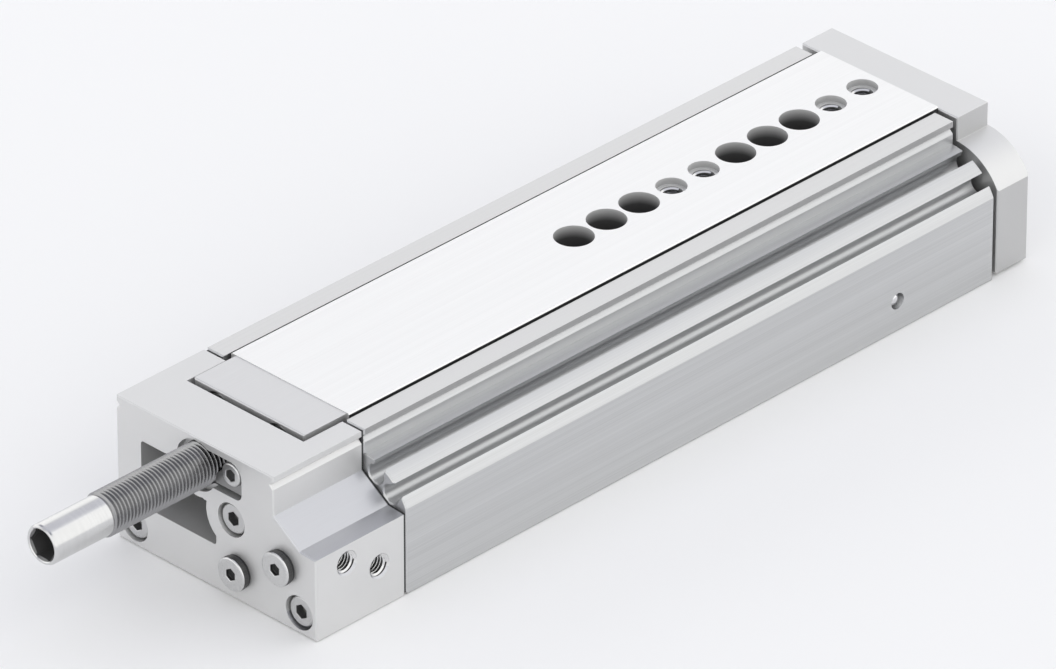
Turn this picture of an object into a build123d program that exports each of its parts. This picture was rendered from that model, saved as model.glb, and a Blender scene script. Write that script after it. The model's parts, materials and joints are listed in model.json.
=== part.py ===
from build123d import *
import math
import os

os.makedirs("parts", exist_ok=True)

# All sizes are in millimetres. X runs from the end cap to the yoke plate, +Z is up, and the side with
# the two sensor slots faces -Y. The origin is the middle of the housing's underside.

# Housing section
width = 59.4
housing_length = 180.5
housing_height = 34.9
bore_radius = 8.0
shell_thickness = 6.5
shell_cut_by_side = 1.3
strip_from_slot_side = 12.35
channel_from_slot_side = 17.7
channel_left_wall = 5.0
channel_depth = 10.6
shell_top_above_channel = 4.9
hollow_from_slot_side = 29.6
hollow_left_wall = 7.4
hollow_depth = 13.5
hollow_corner = 0.8
edge_break = 0.3

# Sensor slots and clamping grooves
slot_opening = 3.2
slot_round_radius = 2.15
slot_depth = 2.9
upper_slot_angle = 111.6
lower_slot_angle = 138.3
groove_width = 1.8
groove_depth = 0.9
groove_from_top = 2.3

# Air ducts
duct_radius = 2.0
duct_from_slot_side = 23.25
duct_height = 7.2
cross_duct_from_front = 30.5
cross_duct_height = 7.4
cross_duct_radius = 1.6
closing_ball_radius = 1.9
closing_ball_depth = 0.5

# End cap
cap_length = 26.0
cap_top_step = 0.1
cap_facet_from_top = 9.4
cap_facet_out = 4.7
cap_facet_end_from_top = 14.65
cap_side_from_top = 15.0
cap_wall = 14.4
cap_recess_right_inset = 0.3
cap_recess_left_inset = 1.5
cap_window_from_top = 8.0
boss_radius = 7.5
gasket_thickness = 0.5
gasket_inset = 0.3
gasket_land = 1.2

# Supply ports and the alternative connections in the rear face
port_radius = 2.5
port_depth = 7.0
port_chamfer = 0.45
port_drill_radius = 1.8
rear_port_from_face = 9.1
rear_port_height = 15.35
front_port_from_face = 18.6
front_port_height = 10.35
rear_duct_from_slot_side = 10.0
rear_duct_height = 14.3
rear_duct_radius = 1.6
plug_head_radius = 4.0
plug_head_height = 1.6
plug_seal_thickness = 0.6
plug_seal_radius = 3.85
plug_thread_length = 5.0
plug_socket_width = 2.5
plug_hole_depth = 6.0

# Screws
m4_radius = 2.0
m4_head_radius = 3.5
m4_head_height = 4.0
m4_socket_width = 3.0
m4_counterbore_radius = 4.0
m3_radius = 1.5
m3_head_radius = 2.75
m3_head_height = 3.0
m3_socket_width = 2.5
m3_counterbore_radius = 3.0
screw_edge = 0.3
socket_depth_share = 0.5
head_sink = 0.6
thread_gap = 0.05
through_gap = 0.25
hole_bottom = 1.0
cap_screw_grip = 9.0
middle_screw_from_slot_side = 25.0
middle_screw_above_bore = 4.25
low_screw_inset = 5.0

# Shock absorbers
absorber_from_slot_side = 35.2
absorber_from_top = 6.8
absorber_radius = 5.0
absorber_pitch = 1.0
absorber_thread_depth = 0.5
absorber_thread_length = 34.0
absorber_sleeve_radius = 4.6
absorber_sleeve_length = 18.4
absorber_in_cap = 8.0
absorber_socket_width = 5.0
absorber_socket_depth = 4.0
absorber_mouth_radius = 3.5
absorber_gap = 0.06
absorber_counterbore_radius = 6.0
absorber_counterbore_depth = 1.6
absorber_stroke = 5.0
absorber_rod_radius = 1.5
absorber_rod_gap = 0.06
absorber_rod_inside = 14.0
absorber_button_radius = 2.2
absorber_button_length = 1.5
touch_gap = 0.3

# Absorber clamp
clamp_screw_from_slot_side = 25.1
clamp_screw_from_top = 5.0
pocket_end_radius = 3.3
pocket_below_screw = 5.3
pocket_corner = 1.8
pocket_depth = 7.0
jaw_sink = 0.8
jaw_gap = 0.3
jaw_bottom_gap = 1.0
jaw_tongue_height = 2.0
jaw_reach = 5.4
clamp_screw_length = 11.0

# Slide table
stroke_reserve = 80.5
slide_shorter = 0.1
slide_side_gap = 0.7
slide_floor_gap = 0.6
slide_rise = 0.55
slide_edge = 0.3
table_holes_from_slot_side = 36.05
table_hole_pitch = 10.0
table_first_hole = 5.4
table_thread_radius = 2.5
table_thread_depth = 8.0
table_sleeve_radius = 3.5
table_sleeve_depth = 1.6
table_access_radius = 4.5

# Guide: rails, cages and balls
ball_radius = 1.5
ball_pitch = 4.0
ball_gap = 0.05
slide_rail_thickness = 3.0
slide_rail_height = 5.6
housing_rail_thickness = 2.7
rail_end_gap = 1.0
cage_thickness = 0.4
cage_height = 4.4
cage_margin = 1.5

# Stop plate at the back of the slide table
stop_plate_thickness = 12.3
stop_plate_step = 0.2
stop_plate_right_gap = 1.5
stop_plate_left_gap = 2.1
stop_lug_side_gap = 1.3
stop_lug_floor_gap = 1.2
end_screw_spacing = 18.3
end_screw_from_top = 4.95
end_screw_grip = 10.0

# Yoke plate
yoke_gap = 1.5
yoke_thickness = 10.0
yoke_bottom = 0.5
yoke_slot_side_gap = 0.4
yoke_strip_inset = 0.3
yoke_shell_step = 0.1
dowel_radius = 1.5
dowel_spacing = 9.0
dowel_from_top = 7.45
dowel_in_slide = 6.0
dowel_in_yoke = 5.0
dowel_gap = 0.02
yoke_thread_radius = 2.5
yoke_thread_from_slot_side = 30.0
yoke_thread_from_plain_side = 5.4
yoke_thread_from_underside = 7.0
yoke_thread_from_top = 11.9

# Cylinder
rod_radius = 4.0
rod_stud_radius = 3.0
rod_stud_end_gap = 0.8
nut_width = 10.0
nut_height = 5.0
nut_counterbore_radius = 6.3
nut_sink = 0.4
piston_length = 20.0
piston_gap = 0.08
piston_end_gap = 2.0
piston_stub_radius = 2.5
piston_seal_width = 2.6
piston_seal_depth = 2.4
piston_seal_from_end = 2.0
piston_seal_gap = 0.04
magnet_width = 5.0
magnet_depth = 2.6
magnet_gap = 0.3
groove_side_gap = 0.1
rod_guide_length = 24.0
rod_guide_gap = 0.04
guide_ring_radius = 0.9
guide_ring_gap = 0.05
bushing_wall = 0.9
bushing_length = 14.0
running_gap = 0.05
rod_seal_width = 3.6
rod_seal_wall = 2.2
web_gap = 0.2
retaining_ring_thickness = 0.9
retaining_groove_depth = 0.6
retaining_ring_width = 2.15
retaining_ring_from_front = 1.0
ring_gap = 0.05

# Front stop in the hollow under the slide table
front_block_wall = 0.6
front_absorber_above_floor = 6.4
front_block_length = 14.0
front_block_from_front = 51.5
front_block_side_gap = 0.3
front_block_top_gap = 0.5
front_block_screw_spacing = 8.0
front_block_screw_from_hollow = 3.2
front_block_screw_grip = 6.0
access_hole_radius = 4.5

# Mounting holes in the housing floor, under the access holes of the table
mounting_hole_radius = 2.75
mounting_counterbore_radius = 4.6
mounting_counterbore_depth = 5.4


def from_slots(distance):
    """Y of a place measured from the slotted side."""
    return distance - width / 2


def from_plain(distance):
    """Y of a place measured from the plain side."""
    return width / 2 - distance


def groove_points(edge, inward):
    """Corners of one V-shaped clamping groove in the side at Y = edge."""
    return [
        (edge - inward * groove_depth, groove_height + groove_width / 2 + groove_depth),
        (edge + inward * groove_depth, groove_height),
        (edge - inward * groove_depth, groove_height - groove_width / 2 - groove_depth),
    ]


def shell_point(radius, angle):
    """A point on a circle about the cylinder bore, in Y and Z."""
    turn = math.radians(angle)
    return (bore_y + radius * math.cos(turn), bore_height + radius * math.sin(turn))


def shell_height(radius, y):
    """Height at which a circle about the bore crosses the line Y = y."""
    return bore_height + math.sqrt(radius**2 - (y - bore_y) ** 2)


def shell_angle(y, z):
    return math.degrees(math.atan2(z - bore_height, y - bore_y))


def socket_screw(radius, length, head_radius, head_height, socket_width):
    """Socket head screw on the Z axis, its head below Z = 0 and its shank above."""
    with BuildPart() as screw:
        with BuildSketch(Plane.XZ):
            with BuildLine():
                Polyline(
                    (0, -head_height),
                    (head_radius - screw_edge, -head_height),
                    (head_radius, screw_edge - head_height),
                    (head_radius, 0),
                    (radius, 0),
                    (radius, length - screw_edge),
                    (radius - screw_edge, length),
                    (0, length),
                    close=True,
                )
            make_face()
        revolve(axis=Axis.Z)
        with BuildSketch(Plane.XY.offset(-head_height)):
            RegularPolygon(socket_width / 2, 6, major_radius=False)
        extrude(amount=head_height * socket_depth_share, mode=Mode.SUBTRACT)
    return screw.part


def absorber_profile():
    """Half section of an absorber body on the Z axis: rod end at Z = 0, key end below."""
    turns = int(absorber_thread_length / absorber_pitch)
    root = absorber_radius - absorber_thread_depth
    points = [(0, 0), (root, 0)]
    for turn in range(turns):
        points.append((absorber_radius, -(turn + 0.5) * absorber_pitch))
        points.append((root, -(turn + 1.0) * absorber_pitch))
    end = -absorber_thread_length - absorber_sleeve_length
    points.append((absorber_sleeve_radius - screw_edge, -turns * absorber_pitch))
    points.append((absorber_sleeve_radius, -turns * absorber_pitch - screw_edge))
    points.append((absorber_sleeve_radius, end + screw_edge))
    points.append((absorber_sleeve_radius - screw_edge, end))
    points.append((absorber_mouth_radius, end))
    points.append((absorber_mouth_radius - screw_edge, end + screw_edge))
    points.append((0, end + screw_edge))
    return points


def absorber_body():
    """Threaded sleeve with a hexagon socket at its back and a blind bore for its rod."""
    end = -absorber_thread_length - absorber_sleeve_length
    with BuildPart() as body:
        with BuildSketch(Plane.XZ):
            with BuildLine():
                Polyline(*absorber_profile(), close=True)
            make_face()
        revolve(axis=Axis.Z)
        with BuildSketch(Plane.XY.offset(end)):
            RegularPolygon(absorber_socket_width / 2, 6, major_radius=False)
        extrude(amount=absorber_socket_depth, mode=Mode.SUBTRACT)
        with BuildSketch(Plane.XY):
            Circle(absorber_rod_radius + absorber_rod_gap)
        extrude(amount=-absorber_rod_inside - absorber_stroke - hole_bottom, mode=Mode.SUBTRACT)
    return body.part


def absorber_rod(reach):
    """Absorber rod on the Z axis, standing out of its body by reach, with a wider button."""
    with BuildPart() as rod:
        with BuildSketch(Plane.XY.offset(-absorber_rod_inside)):
            Circle(absorber_rod_radius)
        extrude(amount=absorber_rod_inside + reach - absorber_button_length)
        with BuildSketch(Plane.XY.offset(reach - absorber_button_length)):
            Circle(absorber_button_radius)
        extrude(amount=absorber_button_length)
    return rod.part


def guide_rail(rail_length, thickness, height, centre_x, centre_y, ball_y):
    """Hardened rail with a round ball track, whose middle lies at ball_y."""
    with BuildPart() as rail:
        with Locations((centre_x, centre_y, ball_height)):
            Box(rail_length, thickness, height)
        with Locations((centre_x, ball_y, ball_height)):
            Cylinder(
                ball_radius + ball_gap,
                rail_length + 2 * hole_bottom,
                rotation=(0, 90, 0),
                mode=Mode.SUBTRACT,
            )
    return rail.part


def ball_cage(ball_y):
    """Thin flat strip between two rails, pierced for the balls."""
    with BuildPart() as cage:
        with Locations((cage_centre, ball_y, ball_height)):
            Box(cage_length, cage_thickness, cage_height)
            with GridLocations(ball_pitch, ball_pitch, ball_count, 1):
                Cylinder(
                    ball_radius + ball_gap,
                    2 * cage_thickness,
                    rotation=(90, 0, 0),
                    mode=Mode.SUBTRACT,
                )
    return cage.part


def cage_balls(ball_y):
    """The row of steel balls that one cage carries."""
    with BuildPart() as balls:
        with Locations((cage_centre, ball_y, ball_height)):
            with GridLocations(ball_pitch, ball_pitch, ball_count, 1):
                Sphere(ball_radius)
    return balls.part


# Places along X
housing_back = -housing_length / 2
housing_front = housing_length / 2
cap_front = housing_back - gasket_thickness
cap_rear = cap_front - cap_length
slide_front = housing_front + yoke_gap
slide_length = housing_length - slide_shorter
stroke = housing_length - stroke_reserve
slide_back = slide_front - slide_length
stop_plate_back = slide_back - stop_plate_thickness
yoke_front = slide_front + yoke_thickness
absorber_end = cap_rear + absorber_in_cap
front_stop_face = slide_back + stroke
front_block_front = housing_front - front_block_from_front
front_block_middle = front_block_front - front_block_length / 2
rod_guide_front = housing_front - retaining_ring_from_front - retaining_ring_thickness - ring_gap
rod_guide_back = rod_guide_front - rod_guide_length
piston_back = housing_back + piston_end_gap
piston_front = piston_back + piston_length
cross_duct_x = housing_front - cross_duct_from_front

# Places across Y
slot_side = from_slots(0)
plain_side = from_plain(0)
shell_radius = bore_radius + shell_thickness
bore_y = from_slots(shell_radius - shell_cut_by_side)
strip_y = from_slots(strip_from_slot_side)
channel_right = from_slots(channel_from_slot_side)
channel_left = from_plain(channel_left_wall)
hollow_right = from_slots(hollow_from_slot_side)
hollow_left = from_plain(hollow_left_wall)
recess_right = channel_right + cap_recess_right_inset
recess_left = channel_left - cap_recess_left_inset
duct_y = from_slots(duct_from_slot_side)
rear_duct_y = from_slots(rear_duct_from_slot_side)
absorber_y = from_slots(absorber_from_slot_side)
clamp_y = from_slots(clamp_screw_from_slot_side)
front_absorber_y = (
    hollow_left - front_block_side_gap - front_block_wall - absorber_gap - absorber_radius
)
front_block_screw_y = hollow_right + front_block_screw_from_hollow
slide_right = channel_right + slide_side_gap
slide_left = channel_left - slide_side_gap
slide_middle = (slide_right + slide_left) / 2
hole_line = from_slots(table_holes_from_slot_side)
right_ball_y = channel_right + slide_side_gap / 2
left_ball_y = channel_left - slide_side_gap / 2

# Heights
channel_floor = housing_height - channel_depth
hollow_floor = channel_floor - hollow_depth
bore_height = channel_floor + shell_top_above_channel - shell_radius
groove_height = housing_height - groove_from_top
cap_height = housing_height - cap_top_step
cap_window_top = cap_height - cap_window_from_top
middle_screw_height = bore_height + middle_screw_above_bore
absorber_height = cap_height - absorber_from_top
clamp_screw_height = cap_height - clamp_screw_from_top
pocket_bottom = clamp_screw_height - pocket_below_screw
front_absorber_height = hollow_floor + front_absorber_above_floor
slide_top = housing_height + slide_rise
slide_bottom = channel_floor + slide_floor_gap
end_screw_height = slide_top - end_screw_from_top
dowel_height = slide_top - dowel_from_top
ball_height = slide_bottom + slide_rail_height / 2
housing_rail_height = 2 * (ball_height - channel_floor)
side_top = shell_height(shell_radius, slot_side)
lip_top = shell_height(shell_radius, strip_y)

# Guide
cage_length = housing_front - front_stop_face - 2 * cage_margin
cage_centre = (slide_back + housing_front) / 2
ball_count = int((cage_length - 2 * ball_radius) / ball_pitch)

# Hole patterns, as Y and Z on a section or X and Y on the table
cap_screw_places = [
    (from_slots(middle_screw_from_slot_side), middle_screw_height),
    (from_slots(low_screw_inset), low_screw_inset),
    (from_plain(low_screw_inset), low_screw_inset),
]
end_screw_places = [
    (slide_middle - end_screw_spacing / 2, end_screw_height),
    (slide_middle + end_screw_spacing / 2, end_screw_height),
]
dowel_places = [
    (slide_middle - dowel_spacing / 2, dowel_height),
    (slide_middle + dowel_spacing / 2, dowel_height),
]
yoke_thread_places = [
    (y, z)
    for y in (from_slots(yoke_thread_from_slot_side), from_plain(yoke_thread_from_plain_side))
    for z in (yoke_thread_from_underside, housing_height - yoke_thread_from_top)
]
hole_places = [
    (slide_front - table_first_hole - index * table_hole_pitch, hole_line) for index in range(10)
]
table_thread_places = hole_places[0:2] + hole_places[5:7]
access_places = hole_places[2:5] + hole_places[7:10]
front_block_screw_places = [
    (front_block_middle - front_block_screw_spacing / 2, front_block_screw_y),
    (front_block_middle + front_block_screw_spacing / 2, front_block_screw_y),
]
left_grooves = groove_points(plain_side, -1)
right_grooves = groove_points(strip_y, 1)


# Housing: aluminium extrusion with the cylinder bore, the guide channel and two sensor slots
with BuildPart() as housing:
    with BuildSketch(Plane.YZ.offset(housing_back)):
        with BuildLine():
            Polyline(
                (strip_y, lip_top),
                (strip_y, housing_height),
                (plain_side, housing_height),
                (plain_side, 0),
                (slot_side, 0),
                (slot_side, side_top),
            )
            start_angle = shell_angle(slot_side, side_top)
            end_angle = shell_angle(strip_y, lip_top)
            ThreePointArc(
                (slot_side, side_top),
                shell_point(shell_radius, (start_angle + end_angle) / 2),
                (strip_y, lip_top),
            )
        make_face()
        with BuildLine():
            Polyline(*left_grooves, close=True)
        make_face(mode=Mode.SUBTRACT)
        with BuildLine():
            Polyline(*right_grooves, close=True)
        make_face(mode=Mode.SUBTRACT)
        for angle in (upper_slot_angle, lower_slot_angle):
            with Locations(shell_point(shell_radius - slot_depth, angle)):
                Circle(slot_round_radius, mode=Mode.SUBTRACT)
            with Locations(shell_point(shell_radius, angle)):
                Rectangle(2 * slot_depth, slot_opening, rotation=angle, mode=Mode.SUBTRACT)
        with Locations(((channel_right + channel_left) / 2, (channel_floor + housing_height) / 2)):
            Rectangle(channel_left - channel_right, housing_height - channel_floor, mode=Mode.SUBTRACT)
        with Locations(((hollow_right + hollow_left) / 2, (hollow_floor + channel_floor) / 2)):
            RectangleRounded(
                hollow_left - hollow_right,
                channel_floor - hollow_floor + 2 * hollow_corner,
                hollow_corner,
                mode=Mode.SUBTRACT,
            )
    extrude(amount=housing_length)
    chamfer(
        housing.faces().sort_by(Axis.X)[0].outer_wire().edges()
        + housing.faces().sort_by(Axis.X)[-1].outer_wire().edges(),
        edge_break,
    )
    with BuildSketch(Plane.YZ.offset(housing_back)):
        for wall, sign in ((channel_right, -1), (channel_left, 1)):
            with Locations((wall + sign * housing_rail_thickness / 2, ball_height)):
                Rectangle(housing_rail_thickness, housing_rail_height)
    extrude(amount=housing_length, mode=Mode.SUBTRACT)
    with BuildSketch(Plane.YZ.offset(housing_back)):
        with Locations((bore_y, bore_height)):
            Circle(bore_radius)
    extrude(amount=housing_length, mode=Mode.SUBTRACT)
    with BuildSketch(Plane.YZ.offset(housing_front - retaining_ring_from_front)):
        with Locations((bore_y, bore_height)):
            Circle(bore_radius + retaining_groove_depth)
    extrude(amount=-retaining_ring_thickness - ring_gap, mode=Mode.SUBTRACT)
    with BuildSketch(Plane.YZ.offset(housing_back)):
        with Locations((duct_y, duct_height)):
            Circle(duct_radius)
    extrude(amount=cross_duct_x + cross_duct_radius - housing_back, mode=Mode.SUBTRACT)
    with BuildSketch(Plane.XZ.offset(-slot_side)):
        with Locations((cross_duct_x, cross_duct_height)):
            Circle(cross_duct_radius)
    extrude(amount=slot_side - duct_y, mode=Mode.SUBTRACT)
    with BuildSketch(Plane.XZ.offset(-slot_side)):
        with Locations((cross_duct_x, cross_duct_height)):
            Circle(closing_ball_radius + thread_gap)
    extrude(amount=-2 * closing_ball_radius - closing_ball_depth - thread_gap, mode=Mode.SUBTRACT)
    with BuildSketch(Plane.YZ.offset(housing_back)):
        with Locations(*cap_screw_places):
            Circle(m4_radius + thread_gap)
    extrude(amount=cap_screw_grip + hole_bottom, mode=Mode.SUBTRACT)
    with BuildSketch(Plane.XY):
        with Locations(*access_places):
            Circle(mounting_hole_radius)
        with Locations(*front_block_screw_places):
            Circle(m3_radius + through_gap)
    extrude(amount=hollow_floor, mode=Mode.SUBTRACT)
    with BuildSketch(Plane.XY.offset(hollow_floor)):
        with Locations(*access_places):
            Circle(mounting_counterbore_radius)
    extrude(amount=-mounting_counterbore_depth, mode=Mode.SUBTRACT)
    with BuildSketch(Plane.XY):
        with Locations(*front_block_screw_places):
            Circle(m3_counterbore_radius)
    extrude(amount=m3_head_height + head_sink, mode=Mode.SUBTRACT)
housing.part.label = "housing"
export_step(housing.part, "parts/housing.step")

# End cap: closes the cylinder, takes the air supply and holds the rear shock absorber
cap_outline = [
    (slot_side, 0),
    (plain_side, 0),
    (plain_side, cap_height),
    (strip_y, cap_height),
    (strip_y, cap_height - cap_facet_from_top),
    (from_slots(cap_facet_out), cap_height - cap_facet_end_from_top),
    (slot_side, cap_height - cap_side_from_top),
]
with BuildPart() as rear_cap:
    with BuildSketch(Plane.YZ.offset(cap_rear)):
        with BuildLine():
            Polyline(*cap_outline, close=True)
        make_face()
        with BuildLine():
            Polyline(*left_grooves, close=True)
        make_face(mode=Mode.SUBTRACT)
        with BuildLine():
            Polyline(*right_grooves, close=True)
        make_face(mode=Mode.SUBTRACT)
    extrude(amount=cap_length)
    chamfer(
        rear_cap.faces().sort_by(Axis.X)[0].outer_wire().edges()
        + rear_cap.faces().sort_by(Axis.X)[-1].outer_wire().edges(),
        edge_break,
    )
    with BuildSketch(Plane.YZ.offset(cap_rear + cap_wall)):
        with Locations(((recess_right + recess_left) / 2, (channel_floor + cap_height) / 2)):
            Rectangle(recess_left - recess_right, cap_height - channel_floor)
        with Locations(((hollow_right + hollow_left) / 2, (hollow_floor + channel_floor) / 2)):
            RectangleRounded(
                hollow_left - hollow_right,
                channel_floor - hollow_floor + 2 * hollow_corner,
                hollow_corner,
            )
    extrude(amount=cap_length - cap_wall, mode=Mode.SUBTRACT)
    with BuildSketch(Plane.YZ.offset(cap_rear)):
        with Locations(((hollow_right + hollow_left) / 2, (hollow_floor + cap_window_top) / 2)):
            RectangleRounded(hollow_left - hollow_right, cap_window_top - hollow_floor, hollow_corner)
        with Locations((absorber_y, absorber_height), cap_screw_places[0]):
            Circle(boss_radius, mode=Mode.SUBTRACT)
        with Locations((absorber_y - boss_radius, absorber_height)):
            Rectangle(boss_radius * 1.5, boss_radius * 2, mode=Mode.SUBTRACT)
    extrude(amount=cap_wall, mode=Mode.SUBTRACT)
    with BuildSketch(Plane.YZ.offset(cap_rear)):
        with Locations((absorber_y, absorber_height)):
            Circle(absorber_radius + absorber_gap)
    extrude(amount=cap_wall, mode=Mode.SUBTRACT)
    with BuildSketch(Plane.YZ.offset(cap_rear)):
        with Locations((absorber_y, absorber_height)):
            Circle(absorber_counterbore_radius)
    extrude(amount=absorber_counterbore_depth, mode=Mode.SUBTRACT)
    with BuildSketch(Plane.YZ.offset(cap_rear)):
        with BuildLine():
            pocket_right = clamp_y - pocket_end_radius
            pocket_top = clamp_screw_height + pocket_end_radius
            FilletPolyline(
                (absorber_y, pocket_bottom),
                (pocket_right, pocket_bottom),
                (pocket_right, pocket_top),
                (absorber_y, pocket_top),
                radius=(pocket_corner, pocket_end_radius),
            )
            Line((absorber_y, pocket_top), (absorber_y, pocket_bottom))
        make_face()
    extrude(amount=pocket_depth, mode=Mode.SUBTRACT)
    with BuildSketch(Plane.YZ.offset(cap_rear + pocket_depth)):
        with Locations((clamp_y, clamp_screw_height)):
            Circle(m3_radius + thread_gap)
    extrude(amount=cap_wall - pocket_depth - hole_bottom, mode=Mode.SUBTRACT)
    with BuildSketch(Plane.YZ.offset(cap_rear)):
        with Locations(*cap_screw_places):
            Circle(m4_radius + through_gap)
    extrude(amount=cap_length, mode=Mode.SUBTRACT)
    with BuildSketch(Plane.YZ.offset(cap_rear)):
        with Locations(*cap_screw_places):
            Circle(m4_counterbore_radius)
    extrude(amount=m4_head_height + head_sink, mode=Mode.SUBTRACT)
    with BuildSketch(Plane.YZ.offset(cap_rear)):
        with Locations((duct_y, duct_height)):
            Circle(duct_radius)
        with Locations((rear_duct_y, rear_duct_height)):
            Circle(rear_duct_radius)
    extrude(amount=cap_length, mode=Mode.SUBTRACT)
    with BuildSketch(Plane.YZ.offset(cap_rear)):
        with Locations((duct_y, duct_height), (rear_duct_y, rear_duct_height)):
            Circle(port_radius)
    extrude(amount=plug_hole_depth, mode=Mode.SUBTRACT)
    rear_port = (cap_rear + rear_port_from_face, rear_port_height)
    front_port = (cap_rear + front_port_from_face, front_port_height)
    with BuildSketch(Plane.XZ.offset(-slot_side)):
        with Locations(rear_port, front_port):
            Circle(port_radius)
    extrude(amount=-port_depth, mode=Mode.SUBTRACT)
    chamfer(
        rear_cap.edges().filter_by(GeomType.CIRCLE).group_by(Axis.Y)[0],
        port_chamfer,
    )
    with BuildSketch(Plane.XZ.offset(-slot_side)):
        with Locations(rear_port):
            Circle(port_drill_radius)
    extrude(amount=slot_side - rear_duct_y, mode=Mode.SUBTRACT)
    with BuildSketch(Plane.XZ.offset(-slot_side)):
        with Locations(front_port):
            Circle(port_drill_radius)
    extrude(amount=slot_side - duct_y, mode=Mode.SUBTRACT)
rear_cap.part.label = "rear_cap"
export_step(rear_cap.part, "parts/rear_cap.step")

# Flat rubber gasket in the seam between the cap and the housing
with BuildPart() as cap_gasket:
    with BuildSketch(Plane.YZ.offset(cap_front)):
        with BuildLine():
            Polyline(*cap_outline, close=True)
        make_face()
        with Locations(((channel_right + channel_left) / 2, (channel_floor + cap_height) / 2)):
            Rectangle(
                channel_left - channel_right + 2 * gasket_land,
                cap_height - channel_floor,
                mode=Mode.SUBTRACT,
            )
        with Locations(((hollow_right + hollow_left) / 2, (hollow_floor + channel_floor) / 2)):
            Rectangle(
                hollow_left - hollow_right,
                channel_floor - hollow_floor,
                mode=Mode.SUBTRACT,
            )
        offset(amount=-gasket_inset, kind=Kind.INTERSECTION, mode=Mode.REPLACE)
        with Locations(*cap_screw_places):
            Circle(m4_radius + through_gap, mode=Mode.SUBTRACT)
        with Locations((duct_y, duct_height)):
            Circle(duct_radius, mode=Mode.SUBTRACT)
        with Locations((rear_duct_y, rear_duct_height)):
            Circle(rear_duct_radius, mode=Mode.SUBTRACT)
    extrude(amount=gasket_thickness)
cap_gasket.part.label = "cap_gasket"
export_step(cap_gasket.part, "parts/cap_gasket.step")

# Three screws that hold the end cap on the housing
cap_screw = socket_screw(
    m4_radius,
    cap_length - m4_head_height - head_sink + gasket_thickness + cap_screw_grip,
    m4_head_radius,
    m4_head_height,
    m4_socket_width,
)
cap_screw_seat = cap_rear + m4_head_height + head_sink
with BuildPart() as cap_screws:
    with Locations(*[Plane((cap_screw_seat, y, z), z_dir=(1, 0, 0)) for y, z in cap_screw_places]):
        add(cap_screw)
cap_screws.part.label = "cap_screws"
export_step(cap_screws.part, "parts/cap_screws.step")

# Clamping jaw beside the rear absorber, drawn in by its screw
with BuildPart() as clamp_jaw:
    jaw_right = clamp_y - pocket_end_radius + jaw_gap
    jaw_bottom = pocket_bottom + jaw_bottom_gap
    with BuildSketch(Plane.YZ.offset(cap_rear + jaw_sink)):
        with BuildLine():
            Polyline(
                (jaw_right, jaw_bottom),
                (clamp_y + jaw_reach, jaw_bottom),
                (clamp_y + jaw_reach, jaw_bottom + jaw_tongue_height),
                (clamp_y + pocket_end_radius - jaw_gap, clamp_screw_height),
                (jaw_right, clamp_screw_height),
                close=True,
            )
        make_face()
        with Locations((clamp_y, clamp_screw_height)):
            Circle(pocket_end_radius - jaw_gap)
        with Locations((absorber_y, absorber_height)):
            Circle(absorber_radius + absorber_gap, mode=Mode.SUBTRACT)
        with Locations((clamp_y, clamp_screw_height)):
            Circle(m3_radius + through_gap, mode=Mode.SUBTRACT)
    extrude(amount=pocket_depth - jaw_sink - touch_gap)
clamp_jaw.part.label = "clamp_jaw"
export_step(clamp_jaw.part, "parts/clamp_jaw.step")

# Screw of the clamping jaw
clamp_screw_part = socket_screw(
    m3_radius, clamp_screw_length, m3_head_radius, jaw_sink, m3_socket_width
)
with BuildPart() as clamp_screw:
    with Locations(Plane((cap_rear + jaw_sink, clamp_y, clamp_screw_height), z_dir=(1, 0, 0))):
        add(clamp_screw_part)
clamp_screw.part.label = "clamp_screw"
export_step(clamp_screw.part, "parts/clamp_screw.step")

# Two plugs that close the alternative air connections, each on a seal ring
plug_places = [(duct_y, duct_height), (rear_duct_y, rear_duct_height)]
plug = socket_screw(
    port_radius - thread_gap,
    plug_thread_length,
    plug_head_radius,
    plug_head_height,
    plug_socket_width,
)
plug_seat = cap_rear - plug_seal_thickness
with BuildPart() as port_plugs:
    with Locations(*[Plane((plug_seat, y, z), z_dir=(1, 0, 0)) for y, z in plug_places]):
        add(plug)
port_plugs.part.label = "port_plugs"
export_step(port_plugs.part, "parts/port_plugs.step")

with BuildPart() as plug_seals:
    with BuildSketch(Plane.YZ.offset(plug_seat)):
        with Locations(*plug_places):
            Circle(plug_seal_radius)
            Circle(port_radius, mode=Mode.SUBTRACT)
    extrude(amount=plug_seal_thickness)
plug_seals.part.label = "plug_seals"
export_step(plug_seals.part, "parts/plug_seals.step")

# Steel ball pressed into the mouth of the cross duct
with BuildPart() as duct_ball:
    with Locations((cross_duct_x, slot_side + closing_ball_depth + closing_ball_radius, cross_duct_height)):
        Sphere(closing_ball_radius)
duct_ball.part.label = "duct_ball"
export_step(duct_ball.part, "parts/duct_ball.step")

# Rear shock absorber, which meets the stop plate when the slide comes home
rear_absorber_plane = Plane((absorber_end, absorber_y, absorber_height), z_dir=(1, 0, 0))
with BuildPart() as rear_absorber_body:
    with Locations(rear_absorber_plane):
        add(absorber_body())
rear_absorber_body.part.label = "rear_absorber_body"
export_step(rear_absorber_body.part, "parts/rear_absorber_body.step")

absorber_reach = stop_plate_back - touch_gap - absorber_end
with BuildPart() as rear_absorber_rod:
    with Locations(rear_absorber_plane):
        add(absorber_rod(absorber_reach))
rear_absorber_rod.part.label = "rear_absorber_rod"
export_step(rear_absorber_rod.part, "parts/rear_absorber_rod.step")

# Front shock absorber of the same kind, turned round, in a block screwed to the hollow's floor
front_absorber_end = front_stop_face + touch_gap + absorber_reach
front_absorber_plane = Plane(
    (front_absorber_end, front_absorber_y, front_absorber_height), z_dir=(-1, 0, 0)
)
with BuildPart() as front_absorber_body:
    with Locations(front_absorber_plane):
        add(absorber_body())
front_absorber_body.part.label = "front_absorber_body"
export_step(front_absorber_body.part, "parts/front_absorber_body.step")

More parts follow.
